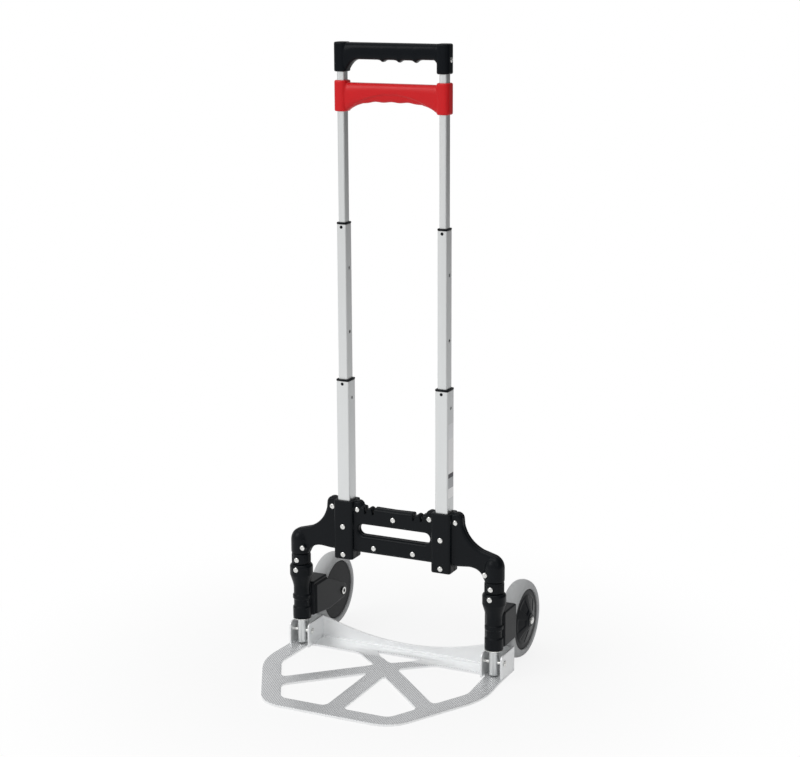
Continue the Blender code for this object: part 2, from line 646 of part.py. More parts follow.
def yoke_outline():
    """The yoke seen from the front, as a closed outline: lobes, arms, leg sockets, brace."""
    brace_z = YOKE_BOTTOM + BRACE_RISE
    lobe_z = YOKE_BOTTOM + LOBE_RISE
    arm_z = YOKE_BOTTOM + ARM_RISE
    outer_lobe_x = TUBE_X + SOCKET_HALF_WIDTH + OUTER_LOBE_OUT
    inner_lobe_x = TUBE_X - SOCKET_HALF_WIDTH - INNER_LOBE_OUT
    outer_lobe_edge = outer_lobe_x + OUTER_LOBE_RADIUS
    leg_edge = LEG_X + LEG_SOCKET_RADIUS - 0.0005
    leg_curve = LEG_SOCKET_RADIUS + 0.0045
    half = arc((inner_lobe_x, lobe_z), INNER_LOBE_RADIUS, 175, 60, 4)
    half += arc((outer_lobe_x, lobe_z), OUTER_LOBE_RADIUS, 120, 0, 5)
    half += bend((outer_lobe_edge + 0.0008, lobe_z - 0.009),
                 (outer_lobe_edge + 0.007, arm_z + 0.0115), (LEG_X - 0.020, arm_z), 5)
    half += arc((leg_edge - leg_curve, YOKE_BOTTOM + 0.0222), leg_curve, 72, 0, 5)
    half += [(leg_edge, YOKE_BOTTOM), (LEG_X - LEG_SOCKET_RADIUS + 0.001, YOKE_BOTTOM)]
    half += bend((LEG_X - LEG_SOCKET_RADIUS - 0.001, YOKE_BOTTOM + 0.004),
                 (LEG_X - LEG_SOCKET_RADIUS - 0.0065, brace_z + 0.002),
                 (TUBE_X + SOCKET_HALF_WIDTH + 0.028, brace_z + 0.0018), 5)
    half += [(TUBE_X + SOCKET_HALF_WIDTH + 0.010, brace_z),
             (TUBE_X + SOCKET_HALF_WIDTH - 0.001, SOCKET_BOTTOM + 0.001),
             (TUBE_X - SOCKET_HALF_WIDTH + 0.001, SOCKET_BOTTOM + 0.001),
             (TUBE_X - SOCKET_HALF_WIDTH, brace_z + 0.003)]
    return [(0.0, YOKE_TOP)] + half + [(0.0, brace_z)] + mirrored(half)[len(half):]


def make_yoke():
    """The two moulded halves of the yoke, parted at the plane of the legs, and their screws."""
    slot_half = TUBE_X - SOCKET_HALF_WIDTH - SLOT_END_MARGIN
    slot_radius = SLOT_HEIGHT / 2
    slot_middle = YOKE_BOTTOM + SLOT_RISE + slot_radius
    slot = (arc((slot_half - slot_radius, slot_middle), slot_radius, 90, -90, 6)
            + arc((slot_radius - slot_half, slot_middle), slot_radius, 270, 90, 6))
    blank = extruded([yoke_outline(), slot], "XZ", -YOKE_HALF, YOKE_HALF)

    added, removed = [], []
    for sign in SIDES.values():
        tube_x, leg_x = sign * TUBE_X, sign * LEG_X
        added.append(box((tube_x - SOCKET_HALF_WIDTH, -SOCKET_HALF_DEPTH, SOCKET_BOTTOM),
                         (tube_x + SOCKET_HALF_WIDTH, SOCKET_HALF_DEPTH, SOCKET_TOP), 0.0025, 1))
        crown = YOKE_BOTTOM + LEG_SOCKET_HEIGHT
        added.append(turned([(0, crown), (LEG_SOCKET_RADIUS - 0.0075, crown - 0.003),
                             (LEG_SOCKET_RADIUS - 0.0025, crown - 0.010),
                             (LEG_SOCKET_RADIUS, YOKE_BOTTOM + LEG_SHOULDER_RISE),
                             (LEG_SOCKET_RADIUS, YOKE_BOTTOM), (0, YOKE_BOTTOM)],
                            (leg_x, 0, 0), (0, 0, 1), 24))
        boss_x, boss_z = sign * ARM_SCREW_X, YOKE_BOTTOM + ARM_SCREW_RISE
        added.append(rod((boss_x, ARM_BOSS_FRONT, boss_z),
                         (boss_x, -YOKE_HALF / 2, boss_z), ARM_BOSS_RADIUS, 12))
        bore = rectangle(LOWER_WIDTH + 2 * GAP, LOWER_DEPTH + 2 * GAP, TUBE_CORNER, (tube_x, 0))
        removed.append(extruded([bore], "XY", SOCKET_BOTTOM - 0.01, SOCKET_TOP + 0.02))
        removed.append(rod((leg_x, 0, YOKE_BOTTOM - 0.01), (leg_x, 0, LEG_TOP + GAP),
                           LEG_RADIUS + GAP, 20))
        for across in CORD_SLITS:
            bottom = YOKE_TOP - CORD_SLIT_DEPTH
            removed.append(box((sign * across - CORD_SLIT_WIDTH / 2, -0.02, bottom),
                               (sign * across + CORD_SLIT_WIDTH / 2, 0.02, YOKE_TOP + 0.02)))
    for seat, length in yoke_screws().values():
        removed.append(screw_bore(seat, (0, 1, 0), length))

    reach = LEG_X * 2
    for name, near in (("yoke_front_half", 1), ("yoke_rear_half", -1)):
        away = box((-reach, min(-near * GAP / 2, near * 0.1), 0),
                   (reach, max(-near * GAP / 2, near * 0.1), LOWER_TOP))
        half = joined(blank.copy(), added, [away] + removed)
        piece(name, half, "frame", "black_plastic")
    for name, (seat, length) in yoke_screws().items():
        piece(name, screw_solid(seat, (0, 1, 0), length), "frame", "zinc_steel")


# ------------------------------------------------------------------ legs and wheel brackets

def make_leg(side, sign):
    """A leg tube with holes for its hinge pin and for the screw of the collar on it."""
    across = sign * LEG_X
    blank = turned([(LEG_RADIUS, LEG_TOP), (LEG_RADIUS, LEG_BOTTOM),
                    (LEG_RADIUS - LEG_WALL, LEG_BOTTOM), (LEG_RADIUS - LEG_WALL, LEG_TOP)],
                   (across, 0, 0), (0, 0, 1), 20)
    pin_hole = rod((across - 2 * LEG_RADIUS, 0, HINGE_Z), (across + 2 * LEG_RADIUS, 0, HINGE_Z),
                   HINGE_RADIUS + GAP, 16)
    screw_z = LEG_COLLAR_BOTTOM + LEG_COLLAR_SCREW_RISE
    screw_hole = front_hole(across, screw_z, 2 * LEG_RADIUS, SCREW_RADIUS + GAP)
    piece("leg_rod_" + side, joined(blank, removed=[pin_hole, screw_hole]), "frame",
          "brushed_aluminium")

    bore = LEG_RADIUS + GAP
    collar = turned([(LEG_COLLAR_RADIUS - 0.001, LEG_COLLAR_TOP),
                     (LEG_COLLAR_RADIUS, LEG_COLLAR_TOP - 0.001),
                     (LEG_COLLAR_RADIUS, LEG_COLLAR_BOTTOM), (bore, LEG_COLLAR_BOTTOM),
                     (bore, LEG_COLLAR_TOP)], (across, 0, 0), (0, 0, 1), 24)
    seat = (across, -LEG_COLLAR_RADIUS - GAP, screw_z)
    length = LEG_COLLAR_WALL + LEG_WALL
    screw_room = screw_bore(seat, (0, 1, 0), length + GAP)
    piece("leg_collar_" + side, joined(collar, removed=[screw_room]), "frame", "black_plastic")
    piece("leg_collar_screw_" + side, screw_solid(seat, (0, 1, 0), length), "frame", "zinc_steel")


def barrel_profile():
    """Half section of the bracket's barrel: head, taper, two rings and a plain neck between."""
    low, ring = LEG_RADIUS + BARREL_WALL, LEG_RADIUS + BARREL_RING_WALL
    wide = BARREL_HEAD_RADIUS
    head_bottom = BRACKET_TOP - BARREL_HEAD_HEIGHT
    profile = [(0, BRACKET_TOP), (wide - 0.0025, BRACKET_TOP), (wide, BRACKET_TOP - 0.004),
               (wide, head_bottom), (low, head_bottom - BARREL_TAPER)]
    for ring_bottom, ring_top in ((0.034, 0.040), (0, 0.019)):
        profile += [(low, BARREL_BOTTOM + ring_top + 0.0015), (ring, BARREL_BOTTOM + ring_top)]
        if ring_bottom:
            profile += [(ring, BARREL_BOTTOM + ring_bottom),
                        (low, BARREL_BOTTOM + ring_bottom - 0.0015)]
    return profile + [(ring, BARREL_BOTTOM + 0.001), (ring - 0.001, BARREL_BOTTOM),
                      (0, BARREL_BOTTOM)]


def make_bracket(side, sign):
    """The bracket that carries a wheel: barrel on the leg, fender, and cheek to the axle."""
    across = sign * LEG_X
    inner = -sign

    def sideways(offset):
        """X of a place measured from the wheel's middle plane, positive towards the inside."""
        return across + inner * offset

    barrel = turned(barrel_profile(), (across, 0, 0), (0, 0, 1), 24)
    cheek_inner = CHEEK_OUTER + CHEEK_THICKNESS
    fender_low, fender_high = WHEEL_RADIUS - FENDER_BELOW, WHEEL_RADIUS + FENDER_ABOVE
    fender_rear = FENDER_FRONT + FENDER_DEPTH
    ends = sorted((sideways(cheek_inner - 0.003), sideways(-CHEEK_OUTER - FENDER_WALL)))
    fender = box((ends[0], FENDER_FRONT, fender_low), (ends[1], fender_rear, fender_high),
                 0.003, 2)
    cheek_ends = sorted((sideways(CHEEK_OUTER - 0.001), sideways(cheek_inner)))
    cheek_front = FENDER_FRONT + 0.006
    cheek_top = fender_high - 0.006
    cheek_outline = [(cheek_front, fender_low + 0.002), (cheek_front, cheek_top),
                     (fender_rear - 0.004, cheek_top)]
    cheek_outline += arc((WHEEL_Y, WHEEL_RADIUS), AXLE_BOSS_RADIUS, 60, -100, 8)
    cheek_outline += [(fender_rear + 0.004, fender_low - 0.004)]
    cheek = extruded([cheek_outline], "YZ", *cheek_ends)

    wheel_room = rod((sideways(CHEEK_OUTER), WHEEL_Y, WHEEL_RADIUS),
                     (sideways(-CHEEK_OUTER), WHEEL_Y, WHEEL_RADIUS), WHEEL_RADIUS + WHEEL_ROOM, 40)
    leg_bore = rod((across, 0, 0), (across, 0, LEG_TOP), LEG_RADIUS + GAP, 24)
    axle_bore = rod((sideways(2 * cheek_inner), WHEEL_Y, WHEEL_RADIUS),
                    (sideways(0), WHEEL_Y, WHEEL_RADIUS), AXLE_RADIUS + GAP, 16)
    seat = (across, -BARREL_HEAD_RADIUS - GAP, BRACKET_TOP - BRACKET_SCREW_DROP)
    length = BARREL_HEAD_WALL - 3 * GAP
    screw_room = screw_bore(seat, (0, 1, 0), length + GAP)
    bracket = joined(barrel, [fender, cheek], [wheel_room, leg_bore, axle_bore, screw_room])
    body = "bracket_" + side
    piece("wheel_bracket_" + side, bracket, body, "black_plastic")
    piece("bracket_screw_" + side, screw_solid(seat, (0, 1, 0), length), body, "zinc_steel")

    inner_face = cheek_inner + GAP
    outward = (sign, 0, 0)
    head_seat = HUB_BOSS_OUT + GAP
    shank_end = inner_face + NUT_HEIGHT
    bolt = turned([(0, head_seat + AXLE_HEAD_HEIGHT),
                   (AXLE_HEAD_RADIUS * 0.7, head_seat + AXLE_HEAD_HEIGHT),
                   (AXLE_HEAD_RADIUS, head_seat + AXLE_HEAD_HEIGHT * 0.4),
                   (AXLE_HEAD_RADIUS, head_seat), (AXLE_RADIUS, head_seat),
                   (AXLE_RADIUS, -shank_end), (0, -shank_end)],
                  (across, WHEEL_Y, WHEEL_RADIUS), outward, 16)
    piece("axle_bolt_" + side, bolt, body, "zinc_steel")
    nut = turned([(NUT_RADIUS, -inner_face), (NUT_RADIUS, -inner_face - NUT_HEIGHT),
                  (AXLE_RADIUS + GAP, -inner_face - NUT_HEIGHT), (AXLE_RADIUS + GAP, -inner_face)],
                 (across, WHEEL_Y, WHEEL_RADIUS), outward, 6 * 2)
    piece("axle_nut_" + side, nut, body, "zinc_steel")


# ------------------------------------------------------------------ wheels

def make_wheel(side, sign):
    """A hub turned about the axle, dished outwards, and the tyre round it."""
    centre = (sign * LEG_X, WHEEL_Y, WHEEL_RADIUS)
    rim = WHEEL_RADIUS - TYRE_DEPTH - GAP
    bore = AXLE_RADIUS + GAP
    inner_boss = CHEEK_OUTER - GAP
    edge = TYRE_HALF_WIDTH - HUB_INSET
    web = 0.006
    hub_profile = [(bore, HUB_BOSS_OUT), (HUB_BOSS_RADIUS, HUB_BOSS_OUT),
                   (HUB_BOSS_RADIUS + 0.001, HUB_BOSS_OUT - 0.003), (rim - 0.010, edge + 0.001),
                   (rim - 0.003, edge), (rim, edge), (rim, -edge), (rim - 0.004, -edge),
                   (rim - 0.007, -web), (HUB_BOSS_RADIUS + 0.002, -web),
                   (HUB_BOSS_RADIUS, -inner_boss), (bore, -inner_boss)]
    outward = (sign, 0, 0)
    piece("wheel_hub_" + side, turned(hub_profile, centre, outward, WHEEL_SIDES), "wheel_" + side,
          "gloss_black_plastic")
    seat = WHEEL_RADIUS - TYRE_DEPTH
    half = TYRE_HALF_WIDTH
    shoulder = [(WHEEL_RADIUS - 0.0055, half - 0.0015), (WHEEL_RADIUS - 0.0018, half - 0.006),
                (WHEEL_RADIUS, half - 0.0105)]
    inner_side = [(radius, -along) for radius, along in reversed(shoulder)]
    tyre_profile = shoulder + inner_side + [
        (WHEEL_RADIUS - 0.0095, -half), (seat, 0.0008 - half), (seat, half - 0.0008),
        (WHEEL_RADIUS - 0.0095, half)]
    piece("wheel_tyre_" + side, turned(tyre_profile, centre, outward, WHEEL_SIDES), "wheel_" + side,
          "grey_rubber")


# ------------------------------------------------------------------ toe plate

def bar(start, end, width, bottom, top):
    """A flat bar between two points in the floor's plane."""
    start, end = Vector(start), Vector(end)
    side_step = (end - start).normalized().orthogonal() * width / 2
    corners = [tuple(start + side_step), tuple(end + side_step),
               tuple(end - side_step), tuple(start - side_step)]
    return extruded([corners], "XY", bottom, top)


def make_toe_plate():
    """The cast plate: rim, five spokes, rear beam with its web, and two pairs of hinge ears."""
    corners = [(PLATE_EDGE, WEB_REAR), (PLATE_EDGE, -0.010),
               (PLATE_HALF_WIDTH, SHOULDER_REACH - PLATE_REACH),
               (PLATE_HALF_WIDTH - NOSE_SAVING, -PLATE_REACH)]
    outline = mirrored(corners)
    side_rim = PLATE_RIM - EDGE_SAVING
    rims = [side_rim] + [PLATE_RIM] * 5 + [side_rim, WEB_REAR - BEAM_FRONT]
    low, high = -PLATE_THICKNESS, 2 * PLATE_THICKNESS
    field = extruded([rounded_corners(inset(outline, rims), WINDOW_CORNER, 3)], "XY", low, high)
    hub = (0, HUB_Y)
    spokes = [bar(hub, (0, -PLATE_REACH), SPOKE_WIDTH, 2 * low, 2 * high)]
    for sign in SIDES.values():
        spoke_end = (sign * SPOKE_RUN[0], HUB_Y - SPOKE_RUN[1])
        rib_end = (sign * RIB_END[0], RIB_END[1])
        spokes.append(bar(hub, spoke_end, SPOKE_WIDTH, 2 * low, 2 * high))
        spokes.append(bar(hub, rib_end, RIB_WIDTH, 2 * low, 2 * high))
    windows = joined(field, removed=spokes)

    rounded = {2: SHOULDER_CORNER, 3: NOSE_CORNER, 4: NOSE_CORNER, 5: SHOULDER_CORNER}
    plate_edge = []
    for index, corner in enumerate(outline):
        plate_edge += arc_corner(outline, index, rounded[index]) if index in rounded else [corner]
    plate = extruded([plate_edge], "XY", 0, PLATE_THICKNESS)

    foot = PLATE_THICKNESS / 2
    ear_rear = WEB_REAR - WEB_THICKNESS / 2
    ear_outline = [(EAR_FRONT, foot)]
    ear_outline += arc((EAR_FRONT + EAR_CORNER, EAR_HEIGHT - EAR_CORNER), EAR_CORNER, 180, 90, 4)
    ear_outline += [(ear_rear, EAR_HEIGHT), (ear_rear, foot)]
    dip = LEG_X - EAR_HALF_SPAN - EAR_THICKNESS
    web_top = [(PLATE_EDGE, foot), (PLATE_EDGE, EAR_HEIGHT)]
    for step in range(WEB_STEPS):
        share = 1 - step / WEB_STEPS
        rise = (EAR_HEIGHT - WEB_MIDDLE_HEIGHT) * share ** 2
        web_top.append((dip * share, WEB_MIDDLE_HEIGHT + rise))
    web_outline = web_top + [(0, WEB_MIDDLE_HEIGHT)] + mirrored(web_top)[len(web_top):]
    added = [extruded([web_outline], "XZ", WEB_REAR - WEB_THICKNESS, WEB_REAR)]
    removed = [windows]
    for sign in SIDES.values():
        for offset in (-EAR_HALF_SPAN - EAR_THICKNESS, EAR_HALF_SPAN):
            low_x = sign * LEG_X + offset
            added.append(extruded([ear_outline], "YZ", low_x, low_x + EAR_THICKNESS))
        removed.append(rod((sign * (LEG_X - 2 * EAR_HALF_SPAN), 0, HINGE_Z),
                           (sign * (LEG_X + 2 * EAR_HALF_SPAN), 0, HINGE_Z),
                           HINGE_RADIUS + GAP, 16))
    slim_half = list(SLIM_WINDOW)
    slim = slim_half + [(0, HUB_Y + SLIM_WINDOW_NOSE)] + mirrored(slim_half)[len(slim_half):]
    removed.append(extruded([slim], "XY", low, high))
    piece("toe_plate", joined(plate, added, removed), "toe", "brushed_aluminium")

    for side, sign in SIDES.items():
        reach = EAR_HALF_SPAN + EAR_THICKNESS + GAP
        head = HINGE_HEAD_HEIGHT
        pin = turned([(0, reach + head), (HINGE_HEAD_RADIUS * 0.6, reach + head),
                      (HINGE_HEAD_RADIUS, reach + head * 0.3), (HINGE_HEAD_RADIUS, reach),
                      (HINGE_RADIUS, reach), (HINGE_RADIUS, -reach), (HINGE_HEAD_RADIUS, -reach),
                      (HINGE_HEAD_RADIUS, -reach - head * 0.3),
                      (HINGE_HEAD_RADIUS * 0.6, -reach - head), (0, -reach - head)],
                     (sign * LEG_X, 0, HINGE_Z), (1, 0, 0), 16)
        piece("hinge_pin_" + side, pin, "toe", "zinc_steel")


# ------------------------------------------------------------------ handles

def grip_solid(half_length, top, underside, half_depth, steps, sides=12):
    """A bar along X lofted through rounded sections whose underside follows a function of X."""
    shape = bmesh.new()
    rings = []
    for step in range(steps + 1):
        across = -half_length + 2 * half_length * step / steps
        low = underside(across)
        middle, half_height = (top + low) / 2, (top - low) / 2
        ring = []
        for corner in range(sides):
            angle = 2 * math.pi * (corner + 0.5) / sides
            flat = [math.copysign(abs(value) ** 0.6, value)
                    for value in (math.cos(angle), math.sin(angle))]
            ring.append(shape.verts.new((across, half_depth * flat[0],
                                         middle + half_height * flat[1])))
        rings.append(ring)
    for ring, following in zip(rings, rings[1:]):
        for corner in range(sides):
            ahead = (corner + 1) % sides
            shape.faces.new((ring[corner], ring[ahead], following[ahead], following[corner]))
    shape.faces.new(rings[0])
    shape.faces.new(reversed(rings[-1]))
    bmesh.ops.recalc_face_normals(shape, faces=shape.faces)
    mesh = bpy.data.meshes.new("grip")
    shape.to_mesh(mesh)
    shape.free()
    return mesh


def handle_posts(bottom, top):
    """The two upright posts of a handle, as round-cornered blocks."""
    return [extruded([rectangle(POST_WIDTH, POST_DEPTH, POST_CORNER, (sign * TUBE_X, 0))],
                     "XY", bottom, top) for sign in SIDES.values()]


def tube_pockets(bottom, top):
    """Cutters for the upper tubes through or into a handle's posts."""
    return [extruded([rectangle(UPPER_WIDTH + 2 * GAP, UPPER_DEPTH + 2 * GAP, TUBE_CORNER,
                                (sign * TUBE_X, 0))], "XY", bottom, top)
            for sign in SIDES.values()]


def finger_underside(across):
    """Height of the top handle's underside: four finger hollows between three cusps."""
    span = TUBE_X - POST_WIDTH / 2
    phase = ((across - FIRST_CUSP) / FINGER_PITCH) % 1
    scallop = -FINGER_RISE * (2 * phase - 1) ** 4 if abs(across) < span - 0.016 else 0
    edge = max(0.0, abs(across) - (span - 0.010)) / 0.010
    return GRIP_UNDERSIDE + scallop - 0.012 * min(edge, 1) ** 2


def arch_underside(across):
    """Height of the release grip's underside: an arch that meets the posts low down."""
    span = TUBE_X - POST_WIDTH / 2
    return RELEASE_UNDERSIDE - (RELEASE_UNDERSIDE - RELEASE_BOTTOM - 0.001) * min(
        abs(across) / span, 1) ** 4


def make_handles():
    """The top handle screwed to the upper tubes, and the release grip that slides on them."""
    length = 2 * (TUBE_X - POST_WIDTH / 2 + 0.003)
    posts = handle_posts(HANDLE_BOTTOM, HANDLE_TOP)
    grip = grip_solid(length / 2, HANDLE_TOP - 0.0005, finger_underside, GRIP_HALF_DEPTH, 28)
    cuts = tube_pockets(HANDLE_BOTTOM - 0.01, UPPER_TOP + GAP)
    reach = POST_WIDTH / 2 - UPPER_WIDTH / 2 + UPPER_WALL + GAP
    for side, sign in SIDES.items():
        seat = (sign * (TUBE_X + POST_WIDTH / 2 + GAP), 0, HANDLE_SCREW_Z)
        inwards = (-sign, 0, 0)
        cuts.append(screw_bore(seat, inwards, reach + 0.001))
        piece("handle_screw_" + side, screw_solid(seat, inwards, reach), "top_stage", "zinc_steel")
    piece("top_handle", joined(posts[0], [posts[1], grip], cuts), "top_stage",
          "gloss_black_plastic")

    posts = handle_posts(RELEASE_BOTTOM, RELEASE_TOP)
    grip = grip_solid(length / 2, RELEASE_TOP - RELEASE_GRIP_DROP, arch_underside, RELEASE_HALF_DEPTH, 14)
    blank = joined(posts[0], [posts[1], grip], tube_pockets(RELEASE_BOTTOM - 0.01,
                                                            RELEASE_TOP + 0.01))
    lugs = []
    for side, sign in SIDES.items():
        ends = sorted((sign * (TUBE_X - POST_WIDTH / 2 + 0.002),
                       sign * (TUBE_X - ROD_RADIUS - GAP)))
        lugs.append(box((ends[0], -LUG_HALF_WIDTH, LUG_BOTTOM), (ends[1], LUG_HALF_WIDTH, LUG_TOP)))
        foot = UPPER_PIN_Z + PIN_RADIUS + 2 * GAP
        piece("release_rod_" + side, rod((sign * TUBE_X, 0, foot),
                                         (sign * TUBE_X, 0, LUG_TOP + 0.003), ROD_RADIUS, 12),
              "release", "zinc_steel")
    piece("release_grip", joined(blank, lugs), "release", "red_plastic")


PARTS, CUTTERS, PARENTS = clear_scene()
MATERIALS = {name: make_finish(name) for name in FINISHES}
make_handle_tubes()
make_yoke()
for side_name, side_sign in SIDES.items():
    make_leg(side_name, side_sign)
    make_bracket(side_name, side_sign)
    make_wheel(side_name, side_sign)
make_toe_plate()
make_handles()
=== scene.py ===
import math

import bmesh
import bpy
import numpy as np
from mathutils import Matrix, Vector


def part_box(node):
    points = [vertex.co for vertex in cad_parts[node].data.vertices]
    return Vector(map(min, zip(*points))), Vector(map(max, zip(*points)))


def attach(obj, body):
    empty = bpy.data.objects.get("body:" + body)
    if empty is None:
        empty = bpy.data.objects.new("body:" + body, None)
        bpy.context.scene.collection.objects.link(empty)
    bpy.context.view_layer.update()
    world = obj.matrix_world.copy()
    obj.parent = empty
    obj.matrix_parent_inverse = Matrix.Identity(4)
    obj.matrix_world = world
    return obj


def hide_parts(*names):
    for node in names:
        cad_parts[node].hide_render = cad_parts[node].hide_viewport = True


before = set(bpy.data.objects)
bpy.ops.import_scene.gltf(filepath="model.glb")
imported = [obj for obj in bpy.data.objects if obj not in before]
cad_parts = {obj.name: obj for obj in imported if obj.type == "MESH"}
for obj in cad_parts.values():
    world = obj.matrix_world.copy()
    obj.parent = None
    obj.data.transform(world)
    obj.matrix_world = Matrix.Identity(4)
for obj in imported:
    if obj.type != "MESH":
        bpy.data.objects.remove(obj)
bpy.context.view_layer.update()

# ------------------------------------------------------------------ view, floor and light
# The truck stands on a plain pale floor under soft lamps, the key lamp in front and to its left.
# The camera looks down on it from its right front, with a long lens.
leg_low, leg_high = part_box("leg_rod_left")
LEG_Y = (leg_low[1] + leg_high[1]) / 2      # the plane of the legs and tubes

AZIMUTH, ELEVATION, ROLL = (math.radians(angle) for angle in (25.6, 13.13, -0.26))
CAMERA_DISTANCE, LENS = 2.9675, 84.274
AIM = Vector((0.0097, LEG_Y, 0.4774))
WORLD_FROM_FRONT, WORLD_FROM_REAR = 0.64, 0.10
FRONT_LEFT = (-0.85, -0.45, 0.28)
FLOOR_GREY, FLOOR_RADIUS, FLOOR_DROP = 0.86, 6.0, 0.0006
WHITE_REACH, WHITE_SHARE = (0.15, 0.75), (0.84, 1.0)     # the floor's own white, by distance


def placed(name, content):
    """New object in the scene, at the origin."""
    holder = bpy.data.objects.new(name, content)
    bpy.context.collection.objects.link(holder)
    return holder


def place_camera():
    """Camera on a sphere round the aim: azimuth turns it from -Y towards +X, elevation lifts it."""
    back = Vector((math.sin(AZIMUTH) * math.cos(ELEVATION),
                   -math.cos(AZIMUTH) * math.cos(ELEVATION), math.sin(ELEVATION)))
    level = Vector((math.cos(AZIMUTH), math.sin(AZIMUTH), 0))
    upright = back.cross(level)
    right = level * math.cos(ROLL) + upright * math.sin(ROLL)
    up = upright * math.cos(ROLL) - level * math.sin(ROLL)
    lens = bpy.data.cameras.new("view")
    lens.lens, lens.sensor_width = LENS, 36.0
    lens.clip_end = 50.0
    camera = placed("view", lens)
    turn_to = Matrix((right, up, back)).transposed().to_4x4()
    camera.matrix_world = Matrix.Translation(AIM + back * CAMERA_DISTANCE) @ turn_to
    bpy.context.scene.camera = camera


def soft_lamp(name, spot, size, watts):
    """A square area lamp at a spot, turned to face the middle of the truck."""
    lamp = bpy.data.lights.new(name, "AREA")
    lamp.shape, lamp.size, lamp.energy = "SQUARE", size, watts
    holder = placed(name, lamp)
    holder.location = spot
    holder.rotation_euler = (AIM - Vector(spot)).to_track_quat("-Z", "Y").to_euler()


def feed(tree, socket, value):
    """Link another socket to an input, or set the input to a number or colour."""
    if isinstance(value, bpy.types.NodeSocket):
        tree.links.new(value, socket)
    else:
        socket.default_value = value


def reckoned(tree, operation, first, second=0.0):
    """Output of a math node fed by sockets or numbers."""
    node = tree.nodes.new("ShaderNodeMath")
    node.operation = operation
    feed(tree, node.inputs[0], first)
    feed(tree, node.inputs[1], second)
    return node.outputs[0]


def mapped(tree, source, span, target, smooth=False):
    """Output of a map range node: the source over a span becomes values over a target."""
    node = tree.nodes.new("ShaderNodeMapRange")
    if smooth:
        node.interpolation_type = "SMOOTHSTEP"
    for socket, value in zip(node.inputs, (source, *span, *target)):
        feed(tree, socket, value)
    return node.outputs["Result"]


def facing_light(tree, place):
    """Dot product of a place or direction with the front left."""
    node = tree.nodes.new("ShaderNodeVectorMath")
    node.operation = "DOT_PRODUCT"
    node.inputs[1].default_value = FRONT_LEFT
    tree.links.new(place, node.inputs[0])
    return node.outputs["Value"]


def light_world():
    """World that the camera sees as white, and that shines more from the front left."""
    world = bpy.data.worlds.new("studio")
    bpy.context.scene.world = world
    world.use_nodes = True
    tree = world.node_tree
    place, ray = (tree.nodes.new("ShaderNode" + kind) for kind in ("TexCoord", "LightPath"))
    shine = mapped(tree, facing_light(tree, place.outputs["Generated"]), (-0.9, 0.55),
                   (WORLD_FROM_REAR, WORLD_FROM_FRONT), smooth=True)
    seen = tree.nodes.new("ShaderNodeMix")
    for socket, value in ((0, ray.outputs["Is Camera Ray"]), (2, shine), (3, 1.0)):
        feed(tree, seen.inputs[socket], value)
    backdrop = tree.nodes["Background"]
    backdrop.inputs["Color"].default_value = (1.0, 1.0, 1.0, 1)
    tree.links.new(seen.outputs[0], backdrop.inputs["Strength"])


def lay_floor():
    """Pale disc under the truck. Its own white grows with the distance, so that it meets the
    backdrop without an edge, and near the truck the rest is lit and keeps the shadow."""
    angles = np.linspace(0, 2 * math.pi, 96, endpoint=False)
    rim = FLOOR_RADIUS * np.column_stack((np.cos(angles), np.sin(angles), 0 * angles))
    sheet = bpy.data.meshes.new("floor")
    sheet.from_pydata(rim.tolist(), [], [list(range(len(rim)))])
    paint = bpy.data.materials.new("pale_floor")
    paint.use_nodes = True
    tree = paint.node_tree
    tree.nodes.remove(tree.nodes["Principled BSDF"])
    lit, glow, ray, place, reach, blend = (tree.nodes.new("ShaderNode" + kind) for kind in (
        "BsdfDiffuse", "Emission", "LightPath", "TexCoord", "VectorMath", "MixShader"))
    lit.inputs["Color"].default_value = (FLOOR_GREY, FLOOR_GREY, FLOOR_GREY, 1)
    reach.operation = "LENGTH"
    tree.links.new(place.outputs["Object"], reach.inputs[0])
    white = mapped(tree, reach.outputs["Value"], WHITE_REACH, WHITE_SHARE, smooth=True)
    in_mirrors = mapped(tree, facing_light(tree, place.outputs["Object"]), (-1.2, 0.4),
                        (0.05, 0.9))
    in_mirrors = reckoned(tree, "MULTIPLY", ray.outputs["Is Glossy Ray"], in_mirrors)
    seen = reckoned(tree, "MAXIMUM", ray.outputs["Is Camera Ray"], in_mirrors)
    for socket, source in zip(blend.inputs, (reckoned(tree, "MULTIPLY", seen, white),
                                             lit.outputs[0], glow.outputs[0])):
        tree.links.new(source, socket)
    tree.links.new(blend.outputs[0], tree.nodes["Material Output"].inputs["Surface"])
    sheet.materials.append(paint)
    floor = placed("floor", sheet)
    floor.location = (0, 0, -FLOOR_DROP)


place_camera()
light_world()
lay_floor()
soft_lamp("key_lamp", (-1.7, -2.3, 2.3), 1.6, 24)
soft_lamp("top_lamp", (0.2, -0.4, 3.0), 1.8, 15)
soft_lamp("fill_lamp", (2.4, -1.4, 1.5), 1.4, 4)
bpy.context.scene.view_settings.view_transform = "Standard"

# ------------------------------------------------------------------ telescoping tubes
# Three nested aluminium tubes on each side, extruded with rounded corners and a brushed finish.
# Lock holes are drilled through their sides, and the top tube has a slot for the release lug.
SIDES = {"left": -1, "right": 1}
TUBE_X = 0.087
TUBE_CORNER = 0.0025
LIP_EASE = 0.00035
HOLE_ROOM = 0.0001
LOCK_HOLE_ROOM = 0.0006
LEAST_CORNER = 0.0003
THROUGH = 0.02                   # cutters reach this far past what they cut


def weld(mesh):
    """Merge the points that coincide and turn every face outwards."""
    shape = bmesh.new()
    shape.from_mesh(mesh)
    bmesh.ops.remove_doubles(shape, verts=shape.verts, dist=1e-6)
    bmesh.ops.dissolve_degenerate(shape, dist=1e-7, edges=shape.edges)
    bmesh.ops.recalc_face_normals(shape, faces=shape.faces)
    shape.to_mesh(mesh)
    shape.free()
    return mesh


